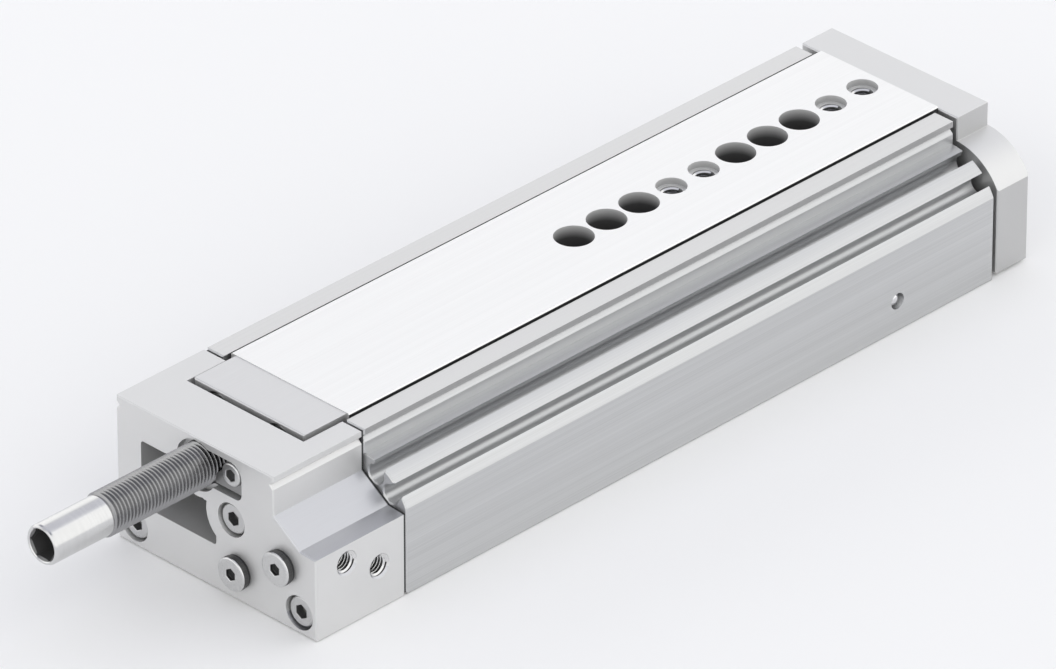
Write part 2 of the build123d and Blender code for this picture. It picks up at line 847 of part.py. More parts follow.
with BuildPart() as front_absorber_rod:
    with Locations(front_absorber_plane):
        add(absorber_rod(absorber_reach))
front_absorber_rod.part.label = "front_absorber_rod"
export_step(front_absorber_rod.part, "parts/front_absorber_rod.step")

with BuildPart() as front_stop_block:
    block_top = channel_floor - front_block_top_gap
    with BuildSketch(Plane.YZ.offset(front_block_front)):
        with Locations(((hollow_right + hollow_left) / 2, (hollow_floor + block_top) / 2)):
            Rectangle(
                hollow_left - hollow_right - 2 * front_block_side_gap,
                block_top - hollow_floor,
            )
        with Locations((front_absorber_y, front_absorber_height)):
            Circle(absorber_radius + absorber_gap, mode=Mode.SUBTRACT)
    extrude(amount=-front_block_length)
    chamfer(front_stop_block.edges().filter_by(Axis.X).group_by(Axis.Z)[0], hollow_corner)
    with BuildSketch(Plane.XY.offset(hollow_floor)):
        with Locations(*front_block_screw_places):
            Circle(m3_radius + thread_gap)
    extrude(amount=front_block_screw_grip + hole_bottom, mode=Mode.SUBTRACT)
front_stop_block.part.label = "front_stop_block"
export_step(front_stop_block.part, "parts/front_stop_block.step")

block_screw_seat = m3_head_height + head_sink
block_screw = socket_screw(
    m3_radius,
    hollow_floor - block_screw_seat + front_block_screw_grip,
    m3_head_radius,
    m3_head_height,
    m3_socket_width,
)
with BuildPart() as front_block_screws:
    with Locations(*[(x, y, block_screw_seat) for x, y in front_block_screw_places]):
        add(block_screw)
front_block_screws.part.label = "front_block_screws"
export_step(front_block_screws.part, "parts/front_block_screws.step")

# Slide table: carries the load, with a line of threads and access holes
with BuildPart() as slide_table:
    with BuildSketch(Plane.YZ.offset(slide_back)):
        with Locations((slide_middle, (slide_bottom + slide_top) / 2)):
            Rectangle(slide_left - slide_right, slide_top - slide_bottom)
    extrude(amount=slide_length)
    chamfer(slide_table.edges().filter_by(Axis.X).group_by(Axis.Z)[-1], slide_edge)
    with BuildSketch(Plane.YZ.offset(slide_back)):
        for edge, sign in ((slide_right, 1), (slide_left, -1)):
            with Locations((edge + sign * slide_rail_thickness / 2, slide_bottom + slide_rail_height / 2)):
                Rectangle(slide_rail_thickness, slide_rail_height)
    extrude(amount=slide_length, mode=Mode.SUBTRACT)
    with BuildSketch(Plane.XY.offset(slide_top)):
        with Locations(*access_places):
            Circle(table_access_radius)
    extrude(amount=slide_bottom - slide_top, mode=Mode.SUBTRACT)
    with BuildSketch(Plane.XY.offset(slide_top)):
        with Locations(*table_thread_places):
            Circle(table_thread_radius)
    extrude(amount=-table_thread_depth, mode=Mode.SUBTRACT)
    with BuildSketch(Plane.XY.offset(slide_top)):
        with Locations(*table_thread_places):
            Circle(table_sleeve_radius)
    extrude(amount=-table_sleeve_depth, mode=Mode.SUBTRACT)
    with BuildSketch(Plane.YZ.offset(slide_back)):
        with Locations(*end_screw_places):
            Circle(m4_radius + thread_gap)
    extrude(amount=end_screw_grip + hole_bottom, mode=Mode.SUBTRACT)
    with BuildSketch(Plane.YZ.offset(slide_front)):
        with Locations(*end_screw_places):
            Circle(m4_radius + thread_gap)
    extrude(amount=-end_screw_grip - hole_bottom, mode=Mode.SUBTRACT)
    with BuildSketch(Plane.YZ.offset(slide_front)):
        with Locations(*dowel_places):
            Circle(dowel_radius + dowel_gap)
    extrude(amount=-dowel_in_slide - dowel_gap, mode=Mode.SUBTRACT)
slide_table.part.label = "slide_table"
export_step(slide_table.part, "parts/slide_table.step")

# Stop plate: bolted to the back of the slide table, its lug runs in the hollow under the table
with BuildPart() as stop_plate:
    plate_right = channel_right + stop_plate_right_gap
    plate_left = channel_left - stop_plate_left_gap
    lug_right = hollow_right + stop_lug_side_gap
    lug_left = hollow_left - stop_lug_side_gap
    lug_bottom = hollow_floor + stop_lug_floor_gap
    plate_top = slide_top - stop_plate_step
    with BuildSketch(Plane.YZ.offset(stop_plate_back)):
        with BuildLine():
            Polyline(
                (plate_right, slide_bottom),
                (plate_right, plate_top),
                (plate_left, plate_top),
                (plate_left, slide_bottom),
                (lug_left, slide_bottom),
                (lug_left, lug_bottom),
                (lug_right, lug_bottom),
                (lug_right, slide_bottom),
                close=True,
            )
        make_face()
    extrude(amount=stop_plate_thickness)
    chamfer(stop_plate.faces().sort_by(Axis.X)[0].outer_wire().edges(), edge_break)
    with BuildSketch(Plane.YZ.offset(stop_plate_back)):
        with Locations(*end_screw_places):
            Circle(m4_radius + through_gap)
    extrude(amount=stop_plate_thickness, mode=Mode.SUBTRACT)
    with BuildSketch(Plane.YZ.offset(stop_plate_back)):
        with Locations(*end_screw_places):
            Circle(m4_counterbore_radius)
    extrude(amount=m4_head_height + head_sink, mode=Mode.SUBTRACT)
stop_plate.part.label = "stop_plate"
export_step(stop_plate.part, "parts/stop_plate.step")

stop_screw_seat = stop_plate_back + m4_head_height + head_sink
stop_screw = socket_screw(
    m4_radius,
    slide_back - stop_screw_seat + end_screw_grip,
    m4_head_radius,
    m4_head_height,
    m4_socket_width,
)
with BuildPart() as stop_plate_screws:
    with Locations(*[Plane((stop_screw_seat, y, z), z_dir=(1, 0, 0)) for y, z in end_screw_places]):
        add(stop_screw)
stop_plate_screws.part.label = "stop_plate_screws"
export_step(stop_plate_screws.part, "parts/stop_plate_screws.step")

# Yoke plate: joins the slide table and the piston rod at the front
with BuildPart() as yoke_plate:
    yoke_side = slot_side + yoke_slot_side_gap
    yoke_strip = strip_y + yoke_strip_inset
    yoke_shell_radius = shell_radius - yoke_shell_step
    yoke_side_top = shell_height(yoke_shell_radius, yoke_side)
    yoke_lip_top = shell_height(yoke_shell_radius, yoke_strip)
    yoke_middle_angle = (
        shell_angle(yoke_side, yoke_side_top) + shell_angle(yoke_strip, yoke_lip_top)
    ) / 2
    with BuildSketch(Plane.YZ.offset(slide_front)):
        with BuildLine():
            Polyline(
                (yoke_strip, yoke_lip_top),
                (yoke_strip, housing_height),
                (plain_side, housing_height),
                (plain_side, yoke_bottom),
                (yoke_side, yoke_bottom),
                (yoke_side, yoke_side_top),
            )
            ThreePointArc(
                (yoke_side, yoke_side_top),
                shell_point(yoke_shell_radius, yoke_middle_angle),
                (yoke_strip, yoke_lip_top),
            )
        make_face()
    extrude(amount=yoke_thickness)
    yoke_edges = (
        yoke_plate.faces().sort_by(Axis.X)[0].outer_wire().edges()
        + yoke_plate.faces().sort_by(Axis.X)[-1].outer_wire().edges()
    )
    chamfer(yoke_edges.filter_by(GeomType.LINE), edge_break)
    with BuildSketch(Plane.YZ.offset(slide_front)):
        with Locations(*end_screw_places):
            Circle(m4_radius + through_gap)
        with Locations((bore_y, bore_height)):
            Circle(rod_stud_radius + through_gap)
        with Locations((front_absorber_y, front_absorber_height)):
            Circle(access_hole_radius)
        with Locations(*yoke_thread_places):
            Circle(yoke_thread_radius)
    extrude(amount=yoke_thickness, mode=Mode.SUBTRACT)
    with BuildSketch(Plane.YZ.offset(yoke_front)):
        with Locations(*end_screw_places):
            Circle(m4_counterbore_radius)
    extrude(amount=-m4_head_height - head_sink, mode=Mode.SUBTRACT)
    with BuildSketch(Plane.YZ.offset(yoke_front)):
        with Locations((bore_y, bore_height)):
            Circle(nut_counterbore_radius)
    extrude(amount=-nut_height - nut_sink, mode=Mode.SUBTRACT)
    with BuildSketch(Plane.YZ.offset(slide_front)):
        with Locations(*dowel_places):
            Circle(dowel_radius + dowel_gap)
    extrude(amount=dowel_in_yoke + dowel_gap, mode=Mode.SUBTRACT)
yoke_plate.part.label = "yoke_plate"
export_step(yoke_plate.part, "parts/yoke_plate.step")

yoke_screw_seat = yoke_front - m4_head_height - head_sink
yoke_screw = socket_screw(
    m4_radius,
    yoke_screw_seat - slide_front + end_screw_grip,
    m4_head_radius,
    m4_head_height,
    m4_socket_width,
)
with BuildPart() as yoke_screws:
    with Locations(*[Plane((yoke_screw_seat, y, z), z_dir=(-1, 0, 0)) for y, z in end_screw_places]):
        add(yoke_screw)
yoke_screws.part.label = "yoke_screws"
export_step(yoke_screws.part, "parts/yoke_screws.step")

with BuildPart() as yoke_dowels:
    with BuildSketch(Plane.YZ.offset(slide_front - dowel_in_slide)):
        with Locations(*dowel_places):
            Circle(dowel_radius)
    extrude(amount=dowel_in_slide + dowel_in_yoke)
yoke_dowels.part.label = "yoke_dowels"
export_step(yoke_dowels.part, "parts/yoke_dowels.step")

# Guide rails: one pair in the channel walls, one pair in the sides of the slide table
housing_rail_length = housing_length - 2 * rail_end_gap
slide_rail_length = slide_length - 2 * rail_end_gap
slide_rail_x = (slide_back + slide_front) / 2
guide_parts = {
    "housing_rail_right": guide_rail(
        housing_rail_length,
        housing_rail_thickness,
        housing_rail_height,
        0,
        channel_right - housing_rail_thickness / 2,
        right_ball_y,
    ),
    "housing_rail_left": guide_rail(
        housing_rail_length,
        housing_rail_thickness,
        housing_rail_height,
        0,
        channel_left + housing_rail_thickness / 2,
        left_ball_y,
    ),
    "slide_rail_right": guide_rail(
        slide_rail_length,
        slide_rail_thickness,
        slide_rail_height,
        slide_rail_x,
        slide_right + slide_rail_thickness / 2,
        right_ball_y,
    ),
    "slide_rail_left": guide_rail(
        slide_rail_length,
        slide_rail_thickness,
        slide_rail_height,
        slide_rail_x,
        slide_left - slide_rail_thickness / 2,
        left_ball_y,
    ),
    "ball_cage_right": ball_cage(right_ball_y),
    "ball_cage_left": ball_cage(left_ball_y),
    "cage_balls_right": cage_balls(right_ball_y),
    "cage_balls_left": cage_balls(left_ball_y),
}
for name, piece in guide_parts.items():
    piece.label = name
    export_step(piece, f"parts/{name}.step")

# Piston with its two seals and the magnet that the sensors in the slots detect
piston_radius = bore_radius - piston_gap
seal_root = piston_radius - piston_seal_depth
magnet_root = piston_radius - magnet_depth
piston_middle = (piston_back + piston_front) / 2
seal_starts = [
    piston_back + piston_seal_from_end,
    piston_front - piston_seal_from_end - piston_seal_width,
]
with BuildPart() as piston:
    with BuildSketch(Plane.YZ.offset(piston_back)):
        with Locations((bore_y, bore_height)):
            Circle(piston_radius)
            Circle(piston_stub_radius + dowel_gap, mode=Mode.SUBTRACT)
    extrude(amount=piston_length)
    for start in seal_starts:
        with BuildSketch(Plane.YZ.offset(start - groove_side_gap)):
            with Locations((bore_y, bore_height)):
                Circle(piston_radius + hole_bottom)
                Circle(seal_root, mode=Mode.SUBTRACT)
        extrude(amount=piston_seal_width + 2 * groove_side_gap, mode=Mode.SUBTRACT)
    with BuildSketch(Plane.YZ.offset(piston_middle - magnet_width / 2 - groove_side_gap)):
        with Locations((bore_y, bore_height)):
            Circle(piston_radius + hole_bottom)
            Circle(magnet_root, mode=Mode.SUBTRACT)
    extrude(amount=magnet_width + 2 * groove_side_gap, mode=Mode.SUBTRACT)
piston.part.label = "piston"
export_step(piston.part, "parts/piston.step")

with BuildPart() as piston_seals:
    for start in seal_starts:
        with BuildSketch(Plane.YZ.offset(start)):
            with Locations((bore_y, bore_height)):
                Circle(bore_radius - piston_seal_gap)
                Circle(seal_root + groove_side_gap, mode=Mode.SUBTRACT)
        extrude(amount=piston_seal_width)
piston_seals.part.label = "piston_seals"
export_step(piston_seals.part, "parts/piston_seals.step")

with BuildPart() as piston_magnet:
    with BuildSketch(Plane.YZ.offset(piston_middle - magnet_width / 2)):
        with Locations((bore_y, bore_height)):
            Circle(piston_radius - magnet_gap)
            Circle(magnet_root + groove_side_gap, mode=Mode.SUBTRACT)
    extrude(amount=magnet_width)
piston_magnet.part.label = "piston_magnet"
export_step(piston_magnet.part, "parts/piston_magnet.step")

# Piston rod: stub in the piston, polished rod through the guide, stud through the yoke plate
with BuildPart() as piston_rod:
    rod_end = yoke_front - rod_stud_end_gap
    with BuildSketch(Plane((0, bore_y, bore_height), x_dir=(1, 0, 0), z_dir=(0, -1, 0))):
        with BuildLine():
            Polyline(
                (piston_back, 0),
                (piston_back, piston_stub_radius),
                (piston_front, piston_stub_radius),
                (piston_front, rod_radius),
                (slide_front, rod_radius),
                (slide_front, rod_stud_radius),
                (rod_end - edge_break, rod_stud_radius),
                (rod_end, rod_stud_radius - edge_break),
                (rod_end, 0),
                close=True,
            )
        make_face()
    revolve(axis=Axis((0, bore_y, bore_height), (1, 0, 0)))
piston_rod.part.label = "piston_rod"
export_step(piston_rod.part, "parts/piston_rod.step")

with BuildPart() as rod_nut:
    with BuildSketch(Plane.YZ.offset(yoke_front - nut_sink)):
        with Locations((bore_y, bore_height)):
            RegularPolygon(nut_width / 2, 6, major_radius=False)
            Circle(rod_stud_radius + thread_gap, mode=Mode.SUBTRACT)
    extrude(amount=-nut_height)
rod_nut.part.label = "rod_nut"
export_step(rod_nut.part, "parts/rod_nut.step")

# Rod guide: closes the bore at the front and guides the rod in a bronze bushing
guide_radius = bore_radius - rod_guide_gap
bushing_radius = rod_radius + running_gap + bushing_wall
ring_centre_radius = guide_radius - guide_ring_radius
ring_x = rod_guide_back + bushing_length
rod_seal_start = rod_guide_front - rod_seal_width
with BuildPart() as rod_guide:
    with BuildSketch(Plane.YZ.offset(rod_guide_back)):
        with Locations((bore_y, bore_height)):
            Circle(guide_radius)
            Circle(rod_radius + web_gap, mode=Mode.SUBTRACT)
    extrude(amount=rod_guide_length)
    with BuildSketch(Plane.YZ.offset(rod_guide_back)):
        with Locations((bore_y, bore_height)):
            Circle(bushing_radius + dowel_gap)
    extrude(amount=bushing_length, mode=Mode.SUBTRACT)
    with BuildSketch(Plane.YZ.offset(rod_seal_start)):
        with Locations((bore_y, bore_height)):
            Circle(rod_radius + running_gap + rod_seal_wall + dowel_gap)
    extrude(amount=rod_seal_width, mode=Mode.SUBTRACT)
    with BuildSketch(Plane.YZ.offset(ring_x - guide_ring_radius - guide_ring_gap)):
        with Locations((bore_y, bore_height)):
            Circle(guide_radius + hole_bottom)
            Circle(ring_centre_radius - guide_ring_radius - guide_ring_gap, mode=Mode.SUBTRACT)
    extrude(amount=2 * guide_ring_radius + 2 * guide_ring_gap, mode=Mode.SUBTRACT)
rod_guide.part.label = "rod_guide"
export_step(rod_guide.part, "parts/rod_guide.step")

with BuildPart() as rod_guide_ring:
    with Locations(Plane((ring_x, bore_y, bore_height), z_dir=(1, 0, 0))):
        Torus(ring_centre_radius, guide_ring_radius)
rod_guide_ring.part.label = "rod_guide_ring"
export_step(rod_guide_ring.part, "parts/rod_guide_ring.step")

with BuildPart() as rod_bushing:
    with BuildSketch(Plane.YZ.offset(rod_guide_back)):
        with Locations((bore_y, bore_height)):
            Circle(bushing_radius)
            Circle(rod_radius + running_gap, mode=Mode.SUBTRACT)
    extrude(amount=bushing_length - groove_side_gap)
rod_bushing.part.label = "rod_bushing"
export_step(rod_bushing.part, "parts/rod_bushing.step")

with BuildPart() as rod_seal:
    with BuildSketch(Plane.YZ.offset(rod_seal_start)):
        with Locations((bore_y, bore_height)):
            Circle(rod_radius + running_gap + rod_seal_wall)
            Circle(rod_radius + running_gap, mode=Mode.SUBTRACT)
    extrude(amount=rod_seal_width)
rod_seal.part.label = "rod_seal"
export_step(rod_seal.part, "parts/rod_seal.step")

with BuildPart() as retaining_ring:
    with BuildSketch(Plane.YZ.offset(housing_front - retaining_ring_from_front - ring_gap)):
        ring_radius = bore_radius + retaining_groove_depth - ring_gap
        ring_inside = ring_radius - retaining_ring_width
        with Locations((bore_y, bore_height)):
            Circle(ring_radius)
            Circle(ring_inside, mode=Mode.SUBTRACT)
        with Locations((bore_y, bore_height + bore_radius)):
            Rectangle(ring_inside, bore_radius, mode=Mode.SUBTRACT)
    extrude(amount=-retaining_ring_thickness + ring_gap)
retaining_ring.part.label = "retaining_ring"
export_step(retaining_ring.part, "parts/retaining_ring.step")
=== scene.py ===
import json
import math

import bmesh
import bpy
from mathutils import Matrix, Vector

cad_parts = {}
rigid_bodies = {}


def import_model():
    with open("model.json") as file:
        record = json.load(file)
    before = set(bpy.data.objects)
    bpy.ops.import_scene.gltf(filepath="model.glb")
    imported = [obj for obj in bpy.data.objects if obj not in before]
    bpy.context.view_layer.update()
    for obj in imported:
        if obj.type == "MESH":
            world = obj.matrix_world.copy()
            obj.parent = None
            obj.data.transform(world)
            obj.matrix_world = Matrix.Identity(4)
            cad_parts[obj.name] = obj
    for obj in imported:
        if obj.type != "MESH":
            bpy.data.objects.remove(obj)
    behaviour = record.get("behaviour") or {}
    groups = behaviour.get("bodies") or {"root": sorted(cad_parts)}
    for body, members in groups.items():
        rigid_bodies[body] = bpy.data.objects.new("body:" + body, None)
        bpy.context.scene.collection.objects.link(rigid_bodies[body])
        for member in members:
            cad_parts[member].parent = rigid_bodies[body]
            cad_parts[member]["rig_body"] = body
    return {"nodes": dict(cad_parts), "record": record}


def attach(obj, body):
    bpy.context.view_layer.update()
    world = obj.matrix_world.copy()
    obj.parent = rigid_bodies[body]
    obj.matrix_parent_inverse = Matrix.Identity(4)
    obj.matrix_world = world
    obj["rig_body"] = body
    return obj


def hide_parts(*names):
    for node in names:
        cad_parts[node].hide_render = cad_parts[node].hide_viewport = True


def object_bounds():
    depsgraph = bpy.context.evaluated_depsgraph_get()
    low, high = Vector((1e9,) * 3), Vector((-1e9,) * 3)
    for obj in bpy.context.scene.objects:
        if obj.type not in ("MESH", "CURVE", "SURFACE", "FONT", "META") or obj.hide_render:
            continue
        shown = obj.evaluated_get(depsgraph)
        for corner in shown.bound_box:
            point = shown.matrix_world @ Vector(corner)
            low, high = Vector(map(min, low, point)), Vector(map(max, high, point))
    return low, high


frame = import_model()
cad_low, cad_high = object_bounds()
nodes = frame["nodes"]


# Camera
# It stands where the photograph was taken from: a long lens, looking down on the slotted side
# and the end cap. Its place was fitted to the edges of the housing.
camera_place = (-1.55165, -1.5064, 1.3129)
camera_pitch = 31.029
camera_yaw = -45.4
camera_lens = 400.8
camera_sensor = 36.0
camera_sight = 50.0

camera_data = bpy.data.cameras.new("camera")
camera_data.lens = camera_lens
camera_data.sensor_width = camera_sensor
camera_data.clip_end = camera_sight
camera = bpy.data.objects.new("camera", camera_data)
camera.location = camera_place
camera.rotation_euler = (math.radians(90 - camera_pitch), 0, math.radians(camera_yaw))
bpy.context.scene.collection.objects.link(camera)
bpy.context.scene.camera = camera
bpy.context.scene.view_settings.view_transform = "Standard"


# Floor and light
# A pale matt floor under a wide soft lamp. The sky is bright low down and dimmer and a little
# lavender higher up, so that level faces shine and sloping ones stand out against them.
floor_reach = 30.0
floor_drop = 0.0002
floor_colour = (0.9, 0.9, 0.9, 1)
floor_roughness = 0.9
floor_shine = 0.1
low_sky = (1.38, 1.38, 1.37, 1)
high_sky = (0.42, 0.43, 0.5, 1)
sky_lean = (0, 0.25, 1)
sky_turn = (0.68, 0.8)
lamp_size = 3.0
lamp_place = (0.4, 0.3, 2.2)
lamp_power = 8.0

floor_mesh = bpy.data.meshes.new("floor")
floor_corners = [(x * floor_reach, y * floor_reach, 0) for x, y in ((-1, -1), (1, -1), (1, 1), (-1, 1))]
floor_mesh.from_pydata(floor_corners, [], [(0, 1, 2, 3)])
floor = bpy.data.objects.new("floor", floor_mesh)
floor.location.z = cad_low.z - floor_drop
bpy.context.scene.collection.objects.link(floor)
floor_finish = bpy.data.materials.new("pale_floor")
floor_finish.use_nodes = True
floor_shader = floor_finish.node_tree.nodes["Principled BSDF"]
floor_shader.inputs["Base Color"].default_value = floor_colour
floor_shader.inputs["Roughness"].default_value = floor_roughness
floor_shader.inputs["Specular IOR Level"].default_value = floor_shine
floor_mesh.materials.append(floor_finish)

world = bpy.data.worlds.new("soft_sky")
world.use_nodes = True
bpy.context.scene.world = world
sky = world.node_tree
sky.nodes.clear()
sky_place = sky.nodes.new("ShaderNodeTexCoord")
sky_along = sky.nodes.new("ShaderNodeVectorMath")
sky_along.operation = "DOT_PRODUCT"
sky_along.inputs[1].default_value = sky_lean
sky_height = sky.nodes.new("ShaderNodeMapRange")
sky_height.interpolation_type = "SMOOTHSTEP"
sky_height.inputs["From Min"].default_value = sky_turn[0]
sky_height.inputs["From Max"].default_value = sky_turn[1]
sky_rise = sky.nodes.new("ShaderNodeMix")
sky_rise.data_type = "RGBA"
sky_rise.inputs["A"].default_value = low_sky
sky_rise.inputs["B"].default_value = high_sky
sky_light = sky.nodes.new("ShaderNodeBackground")
sky_out = sky.nodes.new("ShaderNodeOutputWorld")
sky.links.new(sky_place.outputs["Generated"], sky_along.inputs[0])
sky.links.new(sky_along.outputs["Value"], sky_height.inputs["Value"])
sky.links.new(sky_height.outputs["Result"], sky_rise.inputs["Factor"])
sky.links.new(sky_rise.outputs["Result"], sky_light.inputs["Color"])
sky.links.new(sky_light.outputs[0], sky_out.inputs[0])

lamp_data = bpy.data.lights.new("overhead", "AREA")
lamp_data.shape = "DISK"
lamp_data.size = lamp_size
lamp_data.energy = lamp_power
lamp = bpy.data.objects.new("overhead", lamp_data)
lamp.location = lamp_place
lamp.rotation_euler = lamp.location.to_track_quat("Z", "Y").to_euler()
bpy.context.scene.collection.objects.link(lamp)


# Housing
# An aluminium extrusion, clear anodised, with the fine lines of the die along X. Its edges are
# broken a little, and the guide channel and the hollow under it are painted dark as shade.
crease_angle = 16
broken_edge_angle = 28
level_angle = 0.3
merge_distance = 2e-6
housing_break = 0.00012
channel_margin = 0.0011
far_wall_margin = 0.0002
hollow_floor = 0.004
strip_margin = 0.0002
groove_wall_drop = 0.0015
edge_segments = 2
face_weight = 100
noise_detail = 3.0
# A normal's share along an axis, for a face that is square to it and for one that mostly is.
squarely = 0.9
mostly = 0.5


def surface(name, colour, roughness, metallic, grain, cloud, tone, relief):
    """A finish whose tint, gloss and relief follow noise at two sizes in object coordinates.

    Grain and cloud are the two noises' repeats per metre along X, Y and Z. Tone is how far the
    tint swings, and relief is the strength of the fine bumps.
    """
    grain_share = 0.6
    noise_band = (0.35, 0.65)
    gloss_band = (0.3, 0.7)
    gloss_swing = 0.15
    relief_height = 0.00002
    finish = bpy.data.materials.new(name)
    finish.use_nodes = True
    tree = finish.node_tree
    shader = tree.nodes["Principled BSDF"]
    shader.inputs["Metallic"].default_value = metallic
    place = tree.nodes.new("ShaderNodeTexCoord")
    levels = []
    for size, share in ((grain, grain_share), (cloud, 1 - grain_share)):
        stretch = tree.nodes.new("ShaderNodeMapping")
        stretch.inputs["Scale"].default_value = size
        noise = tree.nodes.new("ShaderNodeTexNoise")
        noise.inputs["Scale"].default_value = 1.0
        noise.inputs["Detail"].default_value = noise_detail
        weight = tree.nodes.new("ShaderNodeMath")
        weight.operation = "MULTIPLY"
        weight.inputs[1].default_value = share
        tree.links.new(place.outputs["Object"], stretch.inputs["Vector"])
        tree.links.new(stretch.outputs["Vector"], noise.inputs["Vector"])
        tree.links.new(noise.outputs["Fac"], weight.inputs[0])
        levels.append((noise, weight))
    both = tree.nodes.new("ShaderNodeMath")
    both.operation = "ADD"
    tree.links.new(levels[0][1].outputs[0], both.inputs[0])
    tree.links.new(levels[1][1].outputs[0], both.inputs[1])
    shade = tree.nodes.new("ShaderNodeMapRange")
    shade.inputs["From Min"].default_value = noise_band[0]
    shade.inputs["From Max"].default_value = noise_band[1]
    shade.inputs["To Min"].default_value = 1.0 - tone
    shade.inputs["To Max"].default_value = 1.0 + tone
    tint = tree.nodes.new("ShaderNodeVectorMath")
    tint.name = "tint"
    tint.operation = "SCALE"
    tint.inputs[0].default_value = colour
    gloss = tree.nodes.new("ShaderNodeMapRange")
    gloss.inputs["From Min"].default_value = gloss_band[0]
    gloss.inputs["From Max"].default_value = gloss_band[1]
    gloss.inputs["To Min"].default_value = roughness * (1 - gloss_swing)
    gloss.inputs["To Max"].default_value = roughness * (1 + gloss_swing)
    bump = tree.nodes.new("ShaderNodeBump")
    bump.inputs["Strength"].default_value = relief
    bump.inputs["Distance"].default_value = relief_height
    tree.links.new(both.outputs[0], shade.inputs["Value"])
    tree.links.new(shade.outputs["Result"], tint.inputs["Scale"])
    tree.links.new(tint.outputs[0], shader.inputs["Base Color"])
    tree.links.new(both.outputs[0], gloss.inputs["Value"])
    tree.links.new(gloss.outputs["Result"], shader.inputs["Roughness"])
    tree.links.new(levels[0][0].outputs["Fac"], bump.inputs["Height"])
    tree.links.new(bump.outputs[0], shader.inputs["Normal"])
    return finish


def fade(finish, axis, start, end, tone):
    """Scales a finish's colour along an axis, from the tone at the start to full at the end."""
    tree = finish.node_tree
    tint = tree.nodes["tint"]
    place = tree.nodes.new("ShaderNodeTexCoord")
    split = tree.nodes.new("ShaderNodeSeparateXYZ")
    along = tree.nodes.new("ShaderNodeMapRange")
    along.inputs["From Min"].default_value = start
    along.inputs["From Max"].default_value = end
    along.inputs["To Min"].default_value = tone
    along.inputs["To Max"].default_value = 1.0
    product = tree.nodes.new("ShaderNodeMath")
    product.operation = "MULTIPLY"
    tree.links.new(place.outputs["Object"], split.inputs[0])
    tree.links.new(split.outputs[axis], along.inputs["Value"])
    tree.links.new(along.outputs["Result"], product.inputs[0])
    tree.links.new(tint.inputs["Scale"].links[0].from_socket, product.inputs[1])
    tree.links.new(product.outputs[0], tint.inputs["Scale"])


def link(name, mesh):
    """Puts a mesh into the scene as a piece of its own."""
    piece = bpy.data.objects.new(name, mesh)
    bpy.context.scene.collection.objects.link(piece)
    return piece


def mark_creases(shape):
    """Edges between faces that meet at more than the crease angle stay crisp."""
    for edge in shape.edges:
        edge.smooth = edge.calc_face_angle(0) < math.radians(crease_angle)
    for face in shape.faces:
        face.smooth = True


def softened(name, finish, width):
    """A merged copy of a CAD node with broken edges, which takes the node's place."""
    mesh = nodes[name].data.copy()
    shape = bmesh.new()
    shape.from_mesh(mesh)
    bmesh.ops.remove_doubles(shape, verts=shape.verts, dist=merge_distance)
    bmesh.ops.dissolve_degenerate(shape, dist=merge_distance / 2, edges=shape.edges)
    level = math.radians(level_angle)
    bmesh.ops.dissolve_limit(shape, angle_limit=level, verts=shape.verts, edges=shape.edges)
    mark_creases(shape)
    shape.to_mesh(mesh)
    shape.free()
    mesh.materials.clear()
    mesh.materials.append(finish)
    piece = link(name + "_finished", mesh)
    if width:
        broken = piece.modifiers.new("broken_edges", "BEVEL")
        broken.width = width
        broken.segments = edge_segments
        broken.limit_method = "ANGLE"
        broken.angle_limit = math.radians(broken_edge_angle)
    even = piece.modifiers.new("even_normals", "WEIGHTED_NORMAL")
    even.keep_sharp = True
    even.weight = face_weight
    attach(piece, nodes[name]["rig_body"])
    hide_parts(name)
    return piece


def refinish(piece, finish, chosen):
    """The faces whose middle and normal are chosen get a second finish."""
    piece.data.materials.append(finish)
    for face in piece.data.polygons:
        if chosen(face.center, face.normal):
            face.material_index = len(piece.data.materials) - 1


def extent(name, below=math.inf):
    """Lowest and highest corner of a CAD node, or of its points under a height."""
    points = [vertex.co for vertex in nodes[name].data.vertices if vertex.co.z < below]
    low = Vector([min(point[axis] for point in points) for axis in range(3)])
    high = Vector([max(point[axis] for point in points) for axis in range(3)])
    return low, high


drawn_aluminium = surface(
    "drawn_aluminium", colour=(0.57, 0.575, 0.58), roughness=0.36, metallic=0.85,
    grain=(9, 5200, 5200), cloud=(3, 700, 700), tone=0.07, relief=0.3,
)
# Painted shade: a near-black copy of the housing's metal for the channel and the hollow under it.
channel_shade_aluminium = surface(
    "channel_shade_aluminium", colour=(0.09, 0.09, 0.092), roughness=0.4, metallic=0.7,
    grain=(9, 3000, 3000), cloud=(40, 200, 200), tone=0.1, relief=0.2,
)
housing = softened("housing", drawn_aluminium, housing_break)
table_low, table_high = extent("slide_table")
housing_top = extent("housing")[1].z


def in_channel(middle, normal):
    """Faces painted dark as shade: the channel and the hollow, but not the far wall above the table."""
    inside = table_low.y - channel_margin < middle.y < table_high.y + channel_margin
    under_strips = hollow_floor < middle.z < housing_top - strip_margin
    far_wall = middle.y > table_high.y + far_wall_margin and normal.y < -squarely
    return inside and under_strips and not far_wall and abs(normal.x) < mostly


def on_strip(middle, normal):
    """The level tops of the two strips beside the table, which are painted lighter as light."""
    return normal.z > squarely and middle.z > housing_top - strip_margin


def above_grooves(middle, normal):
    """The upright edge between the strip and the clamping grooves, which is painted darker as shade."""
    return middle.z > housing_top - groove_wall_drop and abs(normal.y) > squarely


# Painted light: a lighter copy of the housing's metal for the level tops of the strips.
strip_lit_aluminium = surface(
    "strip_lit_aluminium", colour=(0.64, 0.64, 0.64), roughness=0.34, metallic=0.85,
    grain=(9, 5200, 5200), cloud=(3, 700, 700), tone=0.03, relief=0.2,
)
